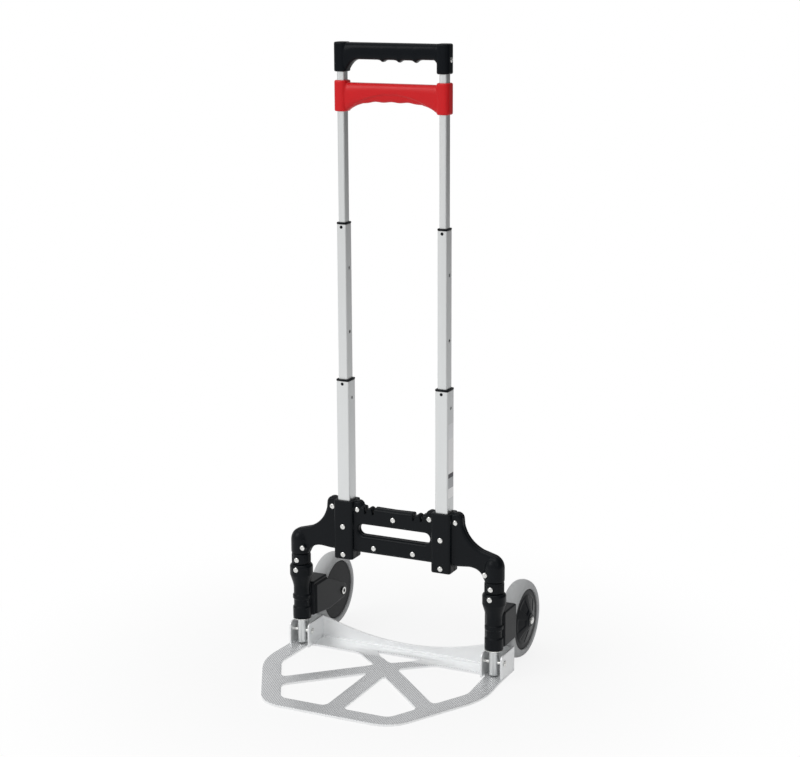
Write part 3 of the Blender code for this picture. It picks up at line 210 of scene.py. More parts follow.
def skin(rows, loop=False):
    """Faces between each row of points and the next, round each row. With loop, the last row joins
    the first; otherwise one face closes each end."""
    rows = np.asarray(rows, float)
    index = np.arange(rows.shape[0] * rows.shape[1]).reshape(rows.shape[:2])
    ahead = np.roll(index, -1, axis=1)
    above, above_ahead = np.roll(index, -1, axis=0), np.roll(ahead, -1, axis=0)
    last = None if loop else -1
    quads = np.stack((index[:last], ahead[:last], above_ahead[:last], above[:last]), -1)
    faces = quads.reshape(-1, 4).tolist()
    if not loop:
        faces += [index[0].tolist(), index[-1].tolist()]
    mesh = bpy.data.meshes.new("skin")
    mesh.from_pydata(rows.reshape(-1, 3).tolist(), [], faces)
    return weld(mesh)


def section(width, depth, corner, steps=6):
    """Round-cornered rectangle: a quarter circle about each corner of a smaller rectangle."""
    quarter = np.linspace(0, math.pi / 2, steps)
    angles = (quarter + np.arange(4)[:, None] * math.pi / 2).ravel()
    half_x = np.repeat([1, -1, -1, 1], steps) * (width / 2 - corner)
    half_y = np.repeat([1, 1, -1, -1], steps) * (depth / 2 - corner)
    return np.column_stack((half_x + corner * np.cos(angles), half_y + corner * np.sin(angles)))


def ringed(stations, across, loop=False):
    """Skin over round-cornered outlines, each given with its inset and its height."""
    rows = []
    for (width, depth, corner), inset, height in stations:
        flat = section(width - 2 * inset, depth - 2 * inset, max(corner - inset, LEAST_CORNER))
        rows.append(np.column_stack((flat[:, 0] + across, flat[:, 1],
                                     np.full(len(flat), height))))
    return skin(rows, loop)


def sleeve(across, low, high, outer, bore, ease=LIP_EASE):
    """Tube wall: up the outside, over both eased lips, and down the bore."""
    return ringed(((outer, ease, low), (outer, 0, low + ease), (outer, 0, high - ease),
                   (outer, ease, high), (bore, -ease, high), (bore, 0, high - ease),
                   (bore, 0, low + ease), (bore, -ease, low)), across, loop=True)


def block(across, low, high, outline, ease=0.0, steps=4):
    """Upright block of a flat outline, whose two ends are rounded over by a quarter circle."""
    swing = np.linspace(0, math.pi / 2, steps) if ease else np.zeros(1)
    insets = ease * (1 - np.sin(swing))
    heights = ease * (1 - np.cos(swing))
    return ringed([(outline, i, low + h) for i, h in zip(insets, heights)]
                  + [(outline, i, high - h) for i, h in zip(insets[::-1], heights[::-1])], across)


def polar(radius, angles, height):
    """Points at a radius and height round Z."""
    return np.stack(np.broadcast_arrays(radius * np.cos(angles), radius * np.sin(angles),
                                        height), -1)


def aimed(rows, centre, direction):
    """Rows drawn round Z, turned to a direction and moved to a centre."""
    axis = np.array(Vector(direction).to_track_quat("Z", "Y").to_matrix())
    return np.asarray(rows) @ axis.T + np.array(centre)


def turn(profile, centre, direction=(0, 0, 1), steps=64, loop=False):
    """Solid of revolution: each (radius, height) of the profile goes round the axis at centre."""
    radius, height = (np.array(column)[:, None] for column in zip(*profile))
    angles = np.linspace(0, 2 * math.pi, steps, endpoint=False)
    return skin(aimed(polar(radius, angles, height), centre, direction), loop)


def drill(radius, start, end, centre, direction=(0, 0, 1), steps=64):
    """Plain cylinder between two places along its direction, for cutting."""
    return turn([(0, start), (radius, start), (radius, end), (0, end)], centre, direction, steps)


def evaluated(holder):
    """The mesh of an object with its modifiers; the object itself goes."""
    bpy.context.view_layer.update()
    graph = bpy.context.evaluated_depsgraph_get()
    mesh = bpy.data.meshes.new_from_object(holder.evaluated_get(graph))
    bpy.data.objects.remove(holder, do_unlink=True)
    return mesh


def combine(base, added=(), removed=(), kept=()):
    """The base with the added solids, less the removed ones, and only where the kept ones are."""
    holder = placed("blank", base)
    helpers = []
    for operation, meshes in (("UNION", added), ("DIFFERENCE", removed), ("INTERSECT", kept)):
        for mesh in meshes:
            helpers.append(placed("tool", mesh))
            step = holder.modifiers.new("step", "BOOLEAN")
            step.operation, step.solver, step.object = operation, "EXACT", helpers[-1]
    mesh = evaluated(holder)
    for helper in helpers:
        bpy.data.objects.remove(helper, do_unlink=True)
    return weld(mesh)


def mixed(tree, share, first, second):
    """Output of a colour mix node fed by sockets or colours."""
    node = tree.nodes.new("ShaderNodeMix")
    node.data_type = "RGBA"
    for socket, value in ((0, share), (6, first), (7, second)):
        feed(tree, node.inputs[socket], value)
    return node.outputs[2]


def finish(name, colour, rough, metal=0.0, grain=(1, 1, 1), scale=400.0, bump=0.1,
           depth=0.0001, shade=0.05, spread=0.10, sheen=0.5):
    """Shader whose roughness and height follow fine noise stretched by grain, and whose colour
    drifts by shade with a broad noise."""
    material = bpy.data.materials.new(name)
    material.use_nodes = True
    tree = material.node_tree
    shader = tree.nodes["Principled BSDF"]
    place, stretch, fine, broad, relief = (tree.nodes.new("ShaderNode" + kind) for kind in (
        "TexCoord", "Mapping", "TexNoise", "TexNoise", "Bump"))
    stretch.inputs["Scale"].default_value = grain
    tree.links.new(place.outputs["Object"], stretch.inputs["Vector"])
    for noise, size, detail in ((fine, scale, 4.0), (broad, scale / 16, 3.0)):
        noise.inputs["Scale"].default_value, noise.inputs["Detail"].default_value = size, detail
        tree.links.new(stretch.outputs["Vector"], noise.inputs["Vector"])
    dull = mapped(tree, fine.outputs["Fac"], (0.3, 0.7), (rough - spread / 2, rough + spread / 2))
    tree.links.new(dull, shader.inputs["Roughness"])
    relief.inputs["Strength"].default_value = bump
    relief.inputs["Distance"].default_value = depth
    tree.links.new(fine.outputs["Fac"], relief.inputs["Height"])
    tree.links.new(relief.outputs["Normal"], shader.inputs["Normal"])
    darker = tuple(c * (1 - shade) for c in colour) + (1,)
    lighter = tuple(min(c * (1 + shade), 1) for c in colour) + (1,)
    tree.links.new(mixed(tree, broad.outputs["Fac"], darker, lighter),
                   shader.inputs["Base Color"])
    shader.inputs["Metallic"].default_value = metal
    shader.inputs["Specular IOR Level"].default_value = sheen
    return material


def show(name, mesh, body, slot, material, *nodes, crease=32):
    """Make a mesh, drawn with the legs' plane at Y = 0, a piece in its place that rides on a body
    and stands for CAD nodes."""
    mesh.transform(Matrix.Translation((0, LEG_Y, 0)))
    mesh.materials.clear()
    mesh.materials.append(material)
    mesh.shade_smooth()
    mesh.set_sharp_from_angle(angle=math.radians(crease))
    piece = placed(name, mesh)
    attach(piece, body)
    if nodes:
        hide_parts(*nodes)


def measured(node):
    """Width, depth, lowest and highest Z of a CAD node."""
    low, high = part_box(node)
    return high[0] - low[0], high[1] - low[1], low[2], high[2]


brushed_aluminium = finish("brushed_aluminium", (0.76, 0.775, 0.775), 0.36, 1.0,
                           grain=(1, 1, 0.02), scale=1500, bump=0.12, depth=0.00006,
                           shade=0.025, spread=0.12)
STAGES = {"lower": ("frame", 0.0014), "middle": ("middle_stage", 0.0012),
          "upper": ("top_stage", 0.0012)}
tube_sizes = {stage: measured(stage + "_tube_left") for stage in STAGES}
pin_low, pin_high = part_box("upper_lock_pin_left")
PIN_RADIUS = (pin_high[2] - pin_low[2]) / 2
UPPER_PIN_Z = (pin_high[2] + pin_low[2]) / 2
HALF_WAY_HOLE = 0.103            # second lock hole, below the first
pin_low, pin_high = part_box("middle_lock_pin_left")
MIDDLE_PIN_Z = (pin_high[2] + pin_low[2]) / 2
LUG_SLOT = (0.9118, 0.9342)      # lower and upper end of the slot for the release lug
LUG_SLOT_OUTLINE = (0.006, 0.0042, 0.0004)
LOCK_HOLES = {"lower": (MIDDLE_PIN_Z,), "middle": (UPPER_PIN_Z, UPPER_PIN_Z - HALF_WAY_HOLE),
              "upper": ()}

for side, sign in SIDES.items():
    for stage, (body, wall) in STAGES.items():
        width, depth, low, high = tube_sizes[stage]
        blank = sleeve(sign * TUBE_X, low, high, (width, depth, TUBE_CORNER),
                       (width - 2 * wall, depth - 2 * wall, TUBE_CORNER - wall))
        drills = [drill(PIN_RADIUS + LOCK_HOLE_ROOM, -THROUGH, THROUGH,
                        (sign * TUBE_X, 0, height), (1, 0, 0), 32)
                  for height in LOCK_HOLES[stage]]
        if stage == "upper":
            inward = sign * (TUBE_X - width / 2)
            drills.append(block(inward, *LUG_SLOT, LUG_SLOT_OUTLINE))
        if drills:
            blank = combine(blank, removed=drills)
        show(side + "_" + stage + "_tube", blank, body, "aluminium", brushed_aluminium,
             stage + "_tube_" + side)

# ------------------------------------------------------------------ mouth collars, plugs, pins
# Black moulded bushings close the mouths of the lower and middle tubes, held by a snap stud.
# Inside, each sliding tube has a guide plug, a sprung steel lock pin and a release rod.
COLLAR_LIP = 0.0004
COLLAR_ROOM = 0.0002
COLLAR_EASE = 0.0006
COLLAR_HEIGHT = 0.0032
STUD_RADIUS, STUD_PROUD, STUD_ROOT, STUD_DROP = 0.0026, 0.0007, 0.0008, 0.0045

moulded_black = finish("moulded_black", (0.0050, 0.0066, 0.0086), 0.32, scale=1400,
                       bump=0.16, depth=0.00005, shade=0.12, sheen=0.14)
zinc_steel = finish("zinc_steel", (0.83, 0.83, 0.81), 0.26, 1.0, scale=700, bump=0.08,
                    shade=0.05, spread=0.12)
# Steel of the lock pins, its colour darkened past plain steel to paint the shade of the holes they
# sit in.
pin_steel_painted_shade = finish("pin_steel_painted_shade", (0.30, 0.30, 0.31), 0.34, 1.0, scale=700, bump=0.08, shade=0.08)

for side, sign in SIDES.items():
    for stage, inner in (("lower", "middle"), ("middle", "upper")):
        width, depth, low, high = tube_sizes[stage]
        inner_width, inner_depth = tube_sizes[inner][:2]
        ring = sleeve(sign * TUBE_X, high + HOLE_ROOM, high + COLLAR_HEIGHT,
                      (width + 2 * COLLAR_LIP, depth + 2 * COLLAR_LIP, TUBE_CORNER + COLLAR_LIP),
                      (inner_width + COLLAR_ROOM, inner_depth + COLLAR_ROOM, TUBE_CORNER),
                      COLLAR_EASE)
        front = -depth / 2
        stud = turn([(0, STUD_PROUD), (STUD_RADIUS * 0.6, STUD_PROUD * 0.92),
                     (STUD_RADIUS * 0.92, STUD_PROUD * 0.55), (STUD_RADIUS, 0),
                     (STUD_RADIUS, -STUD_ROOT), (0, -STUD_ROOT)],
                    (sign * TUBE_X, front, high - STUD_DROP), (0, -1, 0), 32)
        shell = bmesh.new()
        for mesh in (ring, stud):
            shell.from_mesh(mesh)
        both = bpy.data.meshes.new("collar")
        shell.to_mesh(both)
        shell.free()
        show(side + "_" + stage + "_collar", both, STAGES[stage][0], "black_plastic",
             moulded_black, stage + "_collar_" + side)
    for kept, material in (("middle_plug_", moulded_black), ("upper_plug_", moulded_black),
                           ("middle_lock_pin_", pin_steel_painted_shade), ("upper_lock_pin_", pin_steel_painted_shade),
                           ("release_rod_", zinc_steel)):
        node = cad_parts[kept + side]
        for held in node.material_slots:
            held.material = material

# ------------------------------------------------------------------ legs
# A round aluminium tube on each side, held in the yoke's ends. The toe plate and the wheel
# bracket turn on its foot, which is left open.
LEG_X = 0.174
LEG_RADIUS = 0.008
LEG_WALL = 0.0018
LEG_MOUTH_DEPTH = 0.018

for side, sign in SIDES.items():
    _, _, low, high = measured("leg_rod_" + side)
    bore = LEG_RADIUS - LEG_WALL
    profile = [(0, low + LEG_MOUTH_DEPTH), (bore, low + LEG_MOUTH_DEPTH), (bore, low + LIP_EASE),
               (bore + LIP_EASE, low), (LEG_RADIUS - LIP_EASE, low), (LEG_RADIUS, low + LIP_EASE),
               (LEG_RADIUS, high - LIP_EASE), (LEG_RADIUS - LIP_EASE, high), (0, high)]
    show(side + "_leg", turn(profile, (sign * LEG_X, 0, 0)), "frame", "aluminium",
         brushed_aluminium, "leg_rod_" + side)

# ------------------------------------------------------------------ yoke
# Two black nylon mouldings screwed together at the legs' plane. They clamp the lower tubes in
# two sockets and hold the legs in their ends. The bar has a hand slot and hooks for a cord.
YOKE_BOTTOM, YOKE_TOP = 0.1643, 0.2585
YOKE_HALF = 0.009
YOKE_EDGE = 0.0055
SOCKET_X, SOCKET_Y = 0.017, 0.0165
SOCKET_BOTTOM, SOCKET_TOP = 0.168, 0.2673
LEG_SOCKET_RADIUS = 0.0165
LEG_SHOULDER_Z, LEG_CROWN_Z = 0.186, 0.206
BRACE_Z, ARM_Z, LOBE_Z = 0.1805, 0.2125, 0.259
OUTER_LOBE_X, OUTER_LOBE_RADIUS = 0.1105, 0.0105
INNER_LOBE_X, INNER_LOBE_RADIUS = 0.065, 0.0085
SLOT_HALF, SLOT_BOTTOM, SLOT_TOP = 0.064, 0.2105, 0.2285
ARM_BOSS_X, ARM_BOSS_Z, ARM_BOSS_RADIUS, ARM_BOSS_ROOT, ARM_BOSS_HEIGHT = (
    0.1635, 0.176, 0.0058, -0.004, 0.011)
HOOK_X, HOOK_HALF, HOOK_DEPTH, HOOK_CORNER = 0.0431, 0.0086, 0.0116, 0.0012
TAB_HALF, TAB_DROP = 0.0054, 0.0003
YOKE_VOXEL = 0.00095
SOCKET_CORNER, SOCKET_EASE, SOCKET_FLOOR, BORE_ROOM = 0.004, 0.0018, 0.0008, 0.0004
LEG_BORE_TOP = 0.1955
PARTING = 0.00012                # each half stops this far from the legs' plane


def arc(centre, radius, start, end, steps):
    """Points on a circle between two angles in degrees."""
    angles = np.radians(np.linspace(start, end, steps))
    return np.column_stack((centre[0] + radius * np.cos(angles),
                            centre[1] + radius * np.sin(angles)))


def bend(start, control, end, steps):
    """Points on a quadratic curve from start to end, pulled towards a control point."""
    share = np.linspace(0, 1, steps)[:, None]
    start, control, end = (np.array(point) for point in (start, control, end))
    return (1 - share) ** 2 * start + 2 * share * (1 - share) * control + share ** 2 * end


def mirrored(half):
    """A half outline at X > 0 and its mirror image, as one closed outline."""
    return np.vstack((half, half[::-1] * (-1, 1)))


def flat_plate(loops, plane, low, high, edge, steps=3):
    """Plate with rounded edges: a filled outline with holes, thickened and rolled over by edge."""
    curve = bpy.data.curves.new("outline", "CURVE")
    curve.dimensions, curve.fill_mode = "2D", "BOTH"
    for loop in loops:
        spline = curve.splines.new("POLY")
        spline.points.add(len(loop) - 1)
        spline.points.foreach_set("co", np.column_stack(
            (loop, np.zeros(len(loop)), np.ones(len(loop)))).ravel())
        spline.use_cyclic_u = True
    curve.extrude, curve.offset = (high - low) / 2 - edge, -edge
    curve.bevel_depth, curve.bevel_resolution = edge, steps
    mesh = evaluated(placed("outline", curve))
    points = np.empty(len(mesh.vertices) * 3)
    mesh.vertices.foreach_get("co", points)
    flat_x, flat_y, thick = points.reshape(-1, 3).T
    thick = thick + (low + high) / 2
    order = {"XY": (flat_x, flat_y, thick), "XZ": (flat_x, thick, flat_y),
             "YZ": (thick, flat_x, flat_y)}[plane]
    mesh.vertices.foreach_set("co", np.column_stack(order).ravel())
    mesh.update()
    return weld(mesh)


def box(low, high):
    """Plain block between two corners, for cutting."""
    low, high = np.array(low), np.array(high)
    corners = np.array([(x, y, z) for z in (0, 1) for x, y in ((0, 0), (1, 0), (1, 1), (0, 1))])
    return skin((low + corners * (high - low)).reshape(2, 4, 3))


def moulded(mesh, voxel, rounds):
    """Moulded look: the solid is skinned again in small even faces, then its edges are relaxed."""
    holder = placed("moulding", mesh)
    grain = holder.modifiers.new("skin", "REMESH")
    grain.mode, grain.voxel_size, grain.adaptivity = "VOXEL", voxel, 0.0
    relax = holder.modifiers.new("relax", "SMOOTH")
    relax.factor, relax.iterations = 0.5, rounds
    return weld(evaluated(holder))


def yoke_outline():
    """Half of the yoke seen from the front, mirrored: lobes, arm, leg socket and brace."""
    outer_edge = OUTER_LOBE_X + OUTER_LOBE_RADIUS
    leg_edge = LEG_X + LEG_SOCKET_RADIUS - 0.0005
    leg_curve = LEG_SOCKET_RADIUS + 0.0045
    half = np.vstack((
        [(0.0001, YOKE_TOP)],
        arc((INNER_LOBE_X, LOBE_Z), INNER_LOBE_RADIUS, 175, 60, 10),
        arc((OUTER_LOBE_X, LOBE_Z), OUTER_LOBE_RADIUS, 120, 0, 12),
        bend((outer_edge + 0.0008, LOBE_Z - 0.009), (outer_edge + 0.007, ARM_Z + 0.0115),
             (LEG_X - 0.020, ARM_Z), 16),
        arc((leg_edge - leg_curve, YOKE_BOTTOM + 0.0222), leg_curve, 72, 0, 12),
        [(leg_edge, YOKE_BOTTOM), (LEG_X - LEG_SOCKET_RADIUS + 0.001, YOKE_BOTTOM)],
        bend((LEG_X - LEG_SOCKET_RADIUS - 0.001, YOKE_BOTTOM + 0.004),
             (LEG_X - LEG_SOCKET_RADIUS - 0.0065, BRACE_Z + 0.002),
             (TUBE_X + SOCKET_X + 0.028, BRACE_Z + 0.0018), 10),
        [(TUBE_X + SOCKET_X + 0.010, BRACE_Z), (TUBE_X, BRACE_Z), (0.0001, BRACE_Z)]))
    return mirrored(half)


def cord_hook(across):
    """Cutter for a square notch in the top edge that leaves a round-topped tab in its middle."""
    swing = np.linspace(0, math.pi, 17)
    tab = np.column_stack((TAB_HALF * np.cos(swing),
                           (HOOK_DEPTH - TAB_DROP) * np.clip(np.sin(swing), 0, 1) ** 0.8))
    wall = np.array([(HOOK_HALF, HOOK_DEPTH + 0.004), (HOOK_HALF, HOOK_CORNER),
                     (HOOK_HALF - HOOK_CORNER, 0)])
    gap = np.vstack((wall, tab, wall[::-1] * (-1, 1))) + (across, YOKE_TOP - HOOK_DEPTH)
    return skin([np.column_stack((gap[:, 0], np.full(len(gap), y), gap[:, 1]))
                 for y in (-THROUGH, THROUGH)])


def make_yoke():
    """Blank with its slot, sockets and bosses, less bores and hooks, cut in two and moulded."""
    middle = (SLOT_BOTTOM + SLOT_TOP) / 2
    radius = (SLOT_TOP - SLOT_BOTTOM) / 2
    slot = np.vstack((arc((SLOT_HALF - radius, middle), radius, 90, -90, 14),
                      arc((radius - SLOT_HALF, middle), radius, 270, 90, 14)))
    blank = flat_plate([yoke_outline(), slot], "XZ", -YOKE_HALF, YOKE_HALF, YOKE_EDGE, 4)
    crown = np.radians(np.linspace(0, 90, 12))
    dome = list(zip(LEG_SOCKET_RADIUS * np.sin(crown),
                    LEG_SHOULDER_Z + (LEG_CROWN_Z - LEG_SHOULDER_Z) * np.cos(crown)))
    dome += [(LEG_SOCKET_RADIUS, YOKE_BOTTOM + 0.001), (LEG_SOCKET_RADIUS - 0.001, YOKE_BOTTOM),
             (0, YOKE_BOTTOM)]
    added, removed = [], []
    for sign in SIDES.values():
        added.append(block(sign * TUBE_X, SOCKET_BOTTOM, SOCKET_TOP,
                           (2 * SOCKET_X, 2 * SOCKET_Y, SOCKET_CORNER), SOCKET_EASE))
        added.append(turn(dome, (sign * LEG_X, 0, 0)))
        added.append(turn([(0, 0), (ARM_BOSS_RADIUS + 0.002, 0), (ARM_BOSS_RADIUS, 0.006),
                           (ARM_BOSS_RADIUS - 0.0006, ARM_BOSS_HEIGHT), (0, ARM_BOSS_HEIGHT)],
                          (sign * ARM_BOSS_X, ARM_BOSS_ROOT, ARM_BOSS_Z), (0, -1, 0), 32))
        width, depth = tube_sizes["lower"][:2]
        removed.append(block(sign * TUBE_X, SOCKET_BOTTOM + SOCKET_FLOOR, SOCKET_TOP + THROUGH,
                             (width + BORE_ROOM, depth + BORE_ROOM, TUBE_CORNER)))
        removed.append(drill(LEG_RADIUS + BORE_ROOM / 2, 0.1, LEG_BORE_TOP, (sign * LEG_X, 0, 0)))
        removed.append(cord_hook(sign * HOOK_X))
    whole = combine(blank, added, removed)
    for name, near, far in (("front", -0.05, -PARTING), ("rear", PARTING, 0.05)):
        half = combine(whole.copy(), kept=[box((-0.3, near, 0.1), (0.3, far, 0.3))])
        show("yoke_" + name, moulded(half, YOKE_VOXEL, 5), "frame", "black_plastic",
             moulded_black, "yoke_" + name + "_half", crease=60)


make_yoke()

# ------------------------------------------------------------------ screws
# Zinc-plated pan-head screws with a cross recess hold the yoke's halves, the leg collars,
# the wheel brackets and the top handle.
SCREW_HEAD_RADIUS, SCREW_HEAD_HEIGHT, SCREW_SHANK, SHANK_LENGTH = 0.0042, 0.0017, 0.0018, 0.003
DOME_FALL, DOME_POWER = 0.62, 3.2
RECESS_REACH, RECESS_HALF_WIDTH, RECESS_DEPTH = 0.0024, 0.00055, 0.0009


def screw(seat, direction):
    """Head as a height over a polar grid: a low dome less a cross, then its rim and a shank."""
    share = np.concatenate((np.linspace(0, 0.72, 16), np.linspace(0.78, 1, 6)))[:, None]
    angles = np.linspace(0, 2 * math.pi, 72, endpoint=False)
    rows = polar(share * SCREW_HEAD_RADIUS, angles,
                 SCREW_HEAD_HEIGHT * (1 - DOME_FALL * share ** DOME_POWER))
    narrow = abs(rows[..., :2]).min(axis=-1) / RECESS_HALF_WIDTH
    far = abs(rows[..., :2]).max(axis=-1) / RECESS_REACH
    cross = np.clip(1.6 - narrow * 1.2, 0, 1) * np.clip((1 - far) * 4, 0, 1)
    rows[..., 2] -= RECESS_DEPTH * cross
    radius, height = np.array(((SCREW_HEAD_RADIUS, 0), (SCREW_SHANK, 0),
                               (SCREW_SHANK, -SHANK_LENGTH), (0, -SHANK_LENGTH))).T[..., None]
    return skin(aimed(np.concatenate((rows, polar(radius, angles, height))), seat, direction))


screw_nodes = {node: "frame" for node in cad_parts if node.startswith("yoke_screw_")}
for side, sign in SIDES.items():
    screw_nodes["leg_collar_screw_" + side] = "frame"
    screw_nodes["bracket_screw_" + side] = "bracket_" + side
    screw_nodes["handle_screw_" + side] = "top_stage"
for node, body in screw_nodes.items():
    low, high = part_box(node)
    middle = [(a + b) / 2 for a, b in zip(low, high)]
    if node.startswith("handle_screw_"):
        outward = 1 if node.endswith("right") else -1
        face = high[0] if outward > 0 else low[0]
        seat = (face - outward * SCREW_HEAD_HEIGHT, middle[1] - LEG_Y, middle[2])
        mesh = screw(seat, (outward, 0, 0))
    else:
        mesh = screw((middle[0], low[1] + SCREW_HEAD_HEIGHT - LEG_Y, middle[2]), (0, -1, 0))
    show("head_of_" + node, mesh, body, "zinc_steel", zinc_steel, node)

# ------------------------------------------------------------------ leg collars
# A black ring screwed to each leg under the yoke. It carries the bracket's thrust, and small
# upright ribs on its sides give a grip.
COLLAR_RADIUS, RIB_HEIGHT, RIB_COUNT = 0.0155, 0.0005, 40


def ribbed_ring(across, low, high):
    """Ring whose radius is raised by narrow upright ribs where it faces left or right."""
    angles = np.linspace(0, 2 * math.pi, 240, endpoint=False)
    ribs = np.clip(np.cos(RIB_COUNT * angles) * 2, 0, 1) * (abs(np.cos(angles)) > 0.62)
    inset, height, rib = np.array(((0.0012, low, 0), (0, low + 0.0012, 0), (0, low + 0.002, 1),
                                   (0, high - 0.0035, 1), (0, high - 0.0028, 0),
                                   (0, high - 0.0014, 0), (0.0014, high, 0))).T[..., None]
    outside = polar(COLLAR_RADIUS - inset + RIB_HEIGHT * ribs * rib, angles, height)
    bore = polar(LEG_RADIUS + HOLE_ROOM, angles, np.array(((high,), (low,))))
    return skin(np.concatenate((outside, bore)) + (across, 0, 0), loop=True)


for side, sign in SIDES.items():
    _, _, low, high = measured("leg_collar_" + side)
    show(side + "_leg_collar", ribbed_ring(sign * LEG_X, low, high), "frame", "black_plastic",
         moulded_black, "leg_collar_" + side)

# ------------------------------------------------------------------ wheel brackets
# A black moulding on each leg: a barrel that turns on the leg, a fender over the tyre, and a
# cheek that reaches back to the axle. A bright washer lies under the barrel.
WHEEL_Y, WHEEL_Z, WHEEL_RADIUS = 0.107, 0.065, 0.065
FENDER_Y, FENDER_Z = (0.006, 0.056), (0.052, 0.111)
CHEEK_OUTER, CHEEK_INNER, FENDER_OUTER = 0.0146, 0.0218, -0.0162
FENDER_CORNER, FENDER_EDGE, CHEEK_EDGE, CHEEK_LAP, FENDER_LAP = 0.0045, 0.0025, 0.0014, 0.001, 0.003
AXLE_BOSS_RADIUS, AXLE_BORE, WHEEL_ROOM = 0.014, 0.0042, 0.0015
BRACKET_VOXEL = 0.0007
BARREL_PROFILE = ((0, 144.7), (15.6, 144.7), (16.9, 144.1), (18.3, 142.4), (19.3, 140.6),
                  (19.3, 125.6), (18.9, 124.9), (17.6, 120.5), (15.4, 113.5), (14.0, 108),
                  (13.5, 104), (13.5, 91.4), (15.0, 90.3), (15.2, 89.6), (15.2, 84.6),
                  (15.0, 83.9), (13.5, 82.8), (13.5, 70.4), (15.0, 69.3), (15.2, 68.6),
                  (15.2, 51.2), (14.2, 50), (0, 50))
WASHER_PROFILE = ((8.3, 48.4), (15.1, 48.4), (15.5, 48.8), (15.5, 49.2), (15.1, 49.6),
                  (8.3, 49.6))


def make_bracket(side, sign):
    """Barrel, fender and cheek joined, less the wheel's room and the bores, then moulded."""
    across = sign * LEG_X

    def slab(outline, near, far, edge):
        """Upright plate between two offsets from the wheel's middle plane, inwards counted up."""
        span = sorted((across - sign * near, across - sign * far))
        return flat_plate([outline], "YZ", *span, edge)

    barrel = turn([(r / 1000, z / 1000) for r, z in BARREL_PROFILE], (across, 0, 0))
    outline = section(FENDER_Y[1] - FENDER_Y[0], FENDER_Z[1] - FENDER_Z[0], FENDER_CORNER)
    outline = outline + (sum(FENDER_Y) / 2, sum(FENDER_Z) / 2)
    fender = slab(outline, CHEEK_INNER - FENDER_LAP, FENDER_OUTER, FENDER_EDGE)
    cheek_outline = np.vstack((
        [(FENDER_Y[0] + 0.006, FENDER_Z[0] + 0.002), (FENDER_Y[0] + 0.006, FENDER_Z[1] - 0.006),
         (FENDER_Y[1] - 0.004, FENDER_Z[1] - 0.006)],
        arc((WHEEL_Y, WHEEL_Z), AXLE_BOSS_RADIUS, 60, -100, 20),
        [(FENDER_Y[1] + 0.004, FENDER_Z[0] - 0.004)]))
    cheek = slab(cheek_outline, CHEEK_OUTER - CHEEK_LAP, CHEEK_INNER, CHEEK_EDGE)
    room = drill(WHEEL_RADIUS + WHEEL_ROOM, -CHEEK_OUTER, CHEEK_OUTER,
                 (across, WHEEL_Y, WHEEL_Z), (1, 0, 0), 128)
    leg_bore = drill(LEG_RADIUS + BORE_ROOM / 2, 0, 0.2, (across, 0, 0))
    axle_bore = drill(AXLE_BORE, 0.005, 0.03, (across, WHEEL_Y, WHEEL_Z), (-sign, 0, 0), 32)
    solid = combine(barrel, [fender, cheek], [room, leg_bore, axle_bore])
    show(side + "_wheel_bracket", moulded(solid, BRACKET_VOXEL, 3), "bracket_" + side,
         "black_plastic", moulded_black, "wheel_bracket_" + side, crease=60)
    washer = turn([(r / 1000, z / 1000) for r, z in WASHER_PROFILE], (across, 0, 0), loop=True)
    show(side + "_barrel_washer", washer, "bracket_" + side, "zinc_steel", zinc_steel)


for side, sign in SIDES.items():
    make_bracket(side, sign)

# ------------------------------------------------------------------ wheels
# A soft grey rubber tyre on a black moulded hub, dished outwards to a boss. The wheel turns on
# a bright bolt that goes through the cheek to a nut.
TYRE_HALF, TYRE_SEAT, TYRE_SHOULDER = 0.0135, 0.0505, 0.0555
HUB_FACE = ((4.3, 21.0), (8.5, 21.7), (10.6, 21.5), (11.5, 20.6), (14.0, 19.9), (20.0, 18.2),
            (28.0, 16.0), (36.0, 13.7), (40.2, 12.5), (42.0, 11.6), (47.6, 11.3), (49.4, 10.9),
            (50.2, 10.2), (50.2, -10.2), (48.8, -11.3), (14.0, -11.5), (12.0, -12.8),
            (4.3, -12.8))
POCKET_COUNT, POCKET_DEPTH, POCKET_RADII, POCKET_SLOPE = 6, 0.0008, (0.016, 0.0385), 600
TYRE_RIDGE, HUB_STEP = 0.00015, 0.0011
BOLT_HEIGHT, BOLT_SHANK, NUT_RADIUS, NUT_BORE = 0.0026, 0.004, 0.0069, 0.0041

grey_rubber = finish("grey_rubber", (0.56, 0.57, 0.575), 0.66, scale=900, bump=0.25,
                     depth=0.00008, shade=0.05, spread=0.10)
gloss_black = finish("gloss_black", (0.0040, 0.0056, 0.0078), 0.30, scale=1000, bump=0.08,
                     depth=0.00004, shade=0.10, spread=0.08, sheen=0.10)


def tyre(across):
    """Ring whose section is half an ellipse over two upright walls, with a fine parting ridge."""
    swing = np.linspace(0, math.pi, 33)
    radius = TYRE_SHOULDER + (WHEEL_RADIUS - TYRE_SHOULDER) * np.sin(swing)
    radius = radius - TYRE_RIDGE + TYRE_RIDGE * (abs(swing - math.pi / 2) < 0.05)
    crown = list(zip(radius, TYRE_HALF * np.cos(swing)))
    seat = [(TYRE_SEAT + 0.0012, -TYRE_HALF + 0.0001), (TYRE_SEAT, -TYRE_HALF + 0.0010),
            (TYRE_SEAT, TYRE_HALF - 0.0010), (TYRE_SEAT + 0.0012, TYRE_HALF - 0.0001)]
    return turn(crown + seat, (across, WHEEL_Y, WHEEL_Z), (1, 0, 0), 160, loop=True)


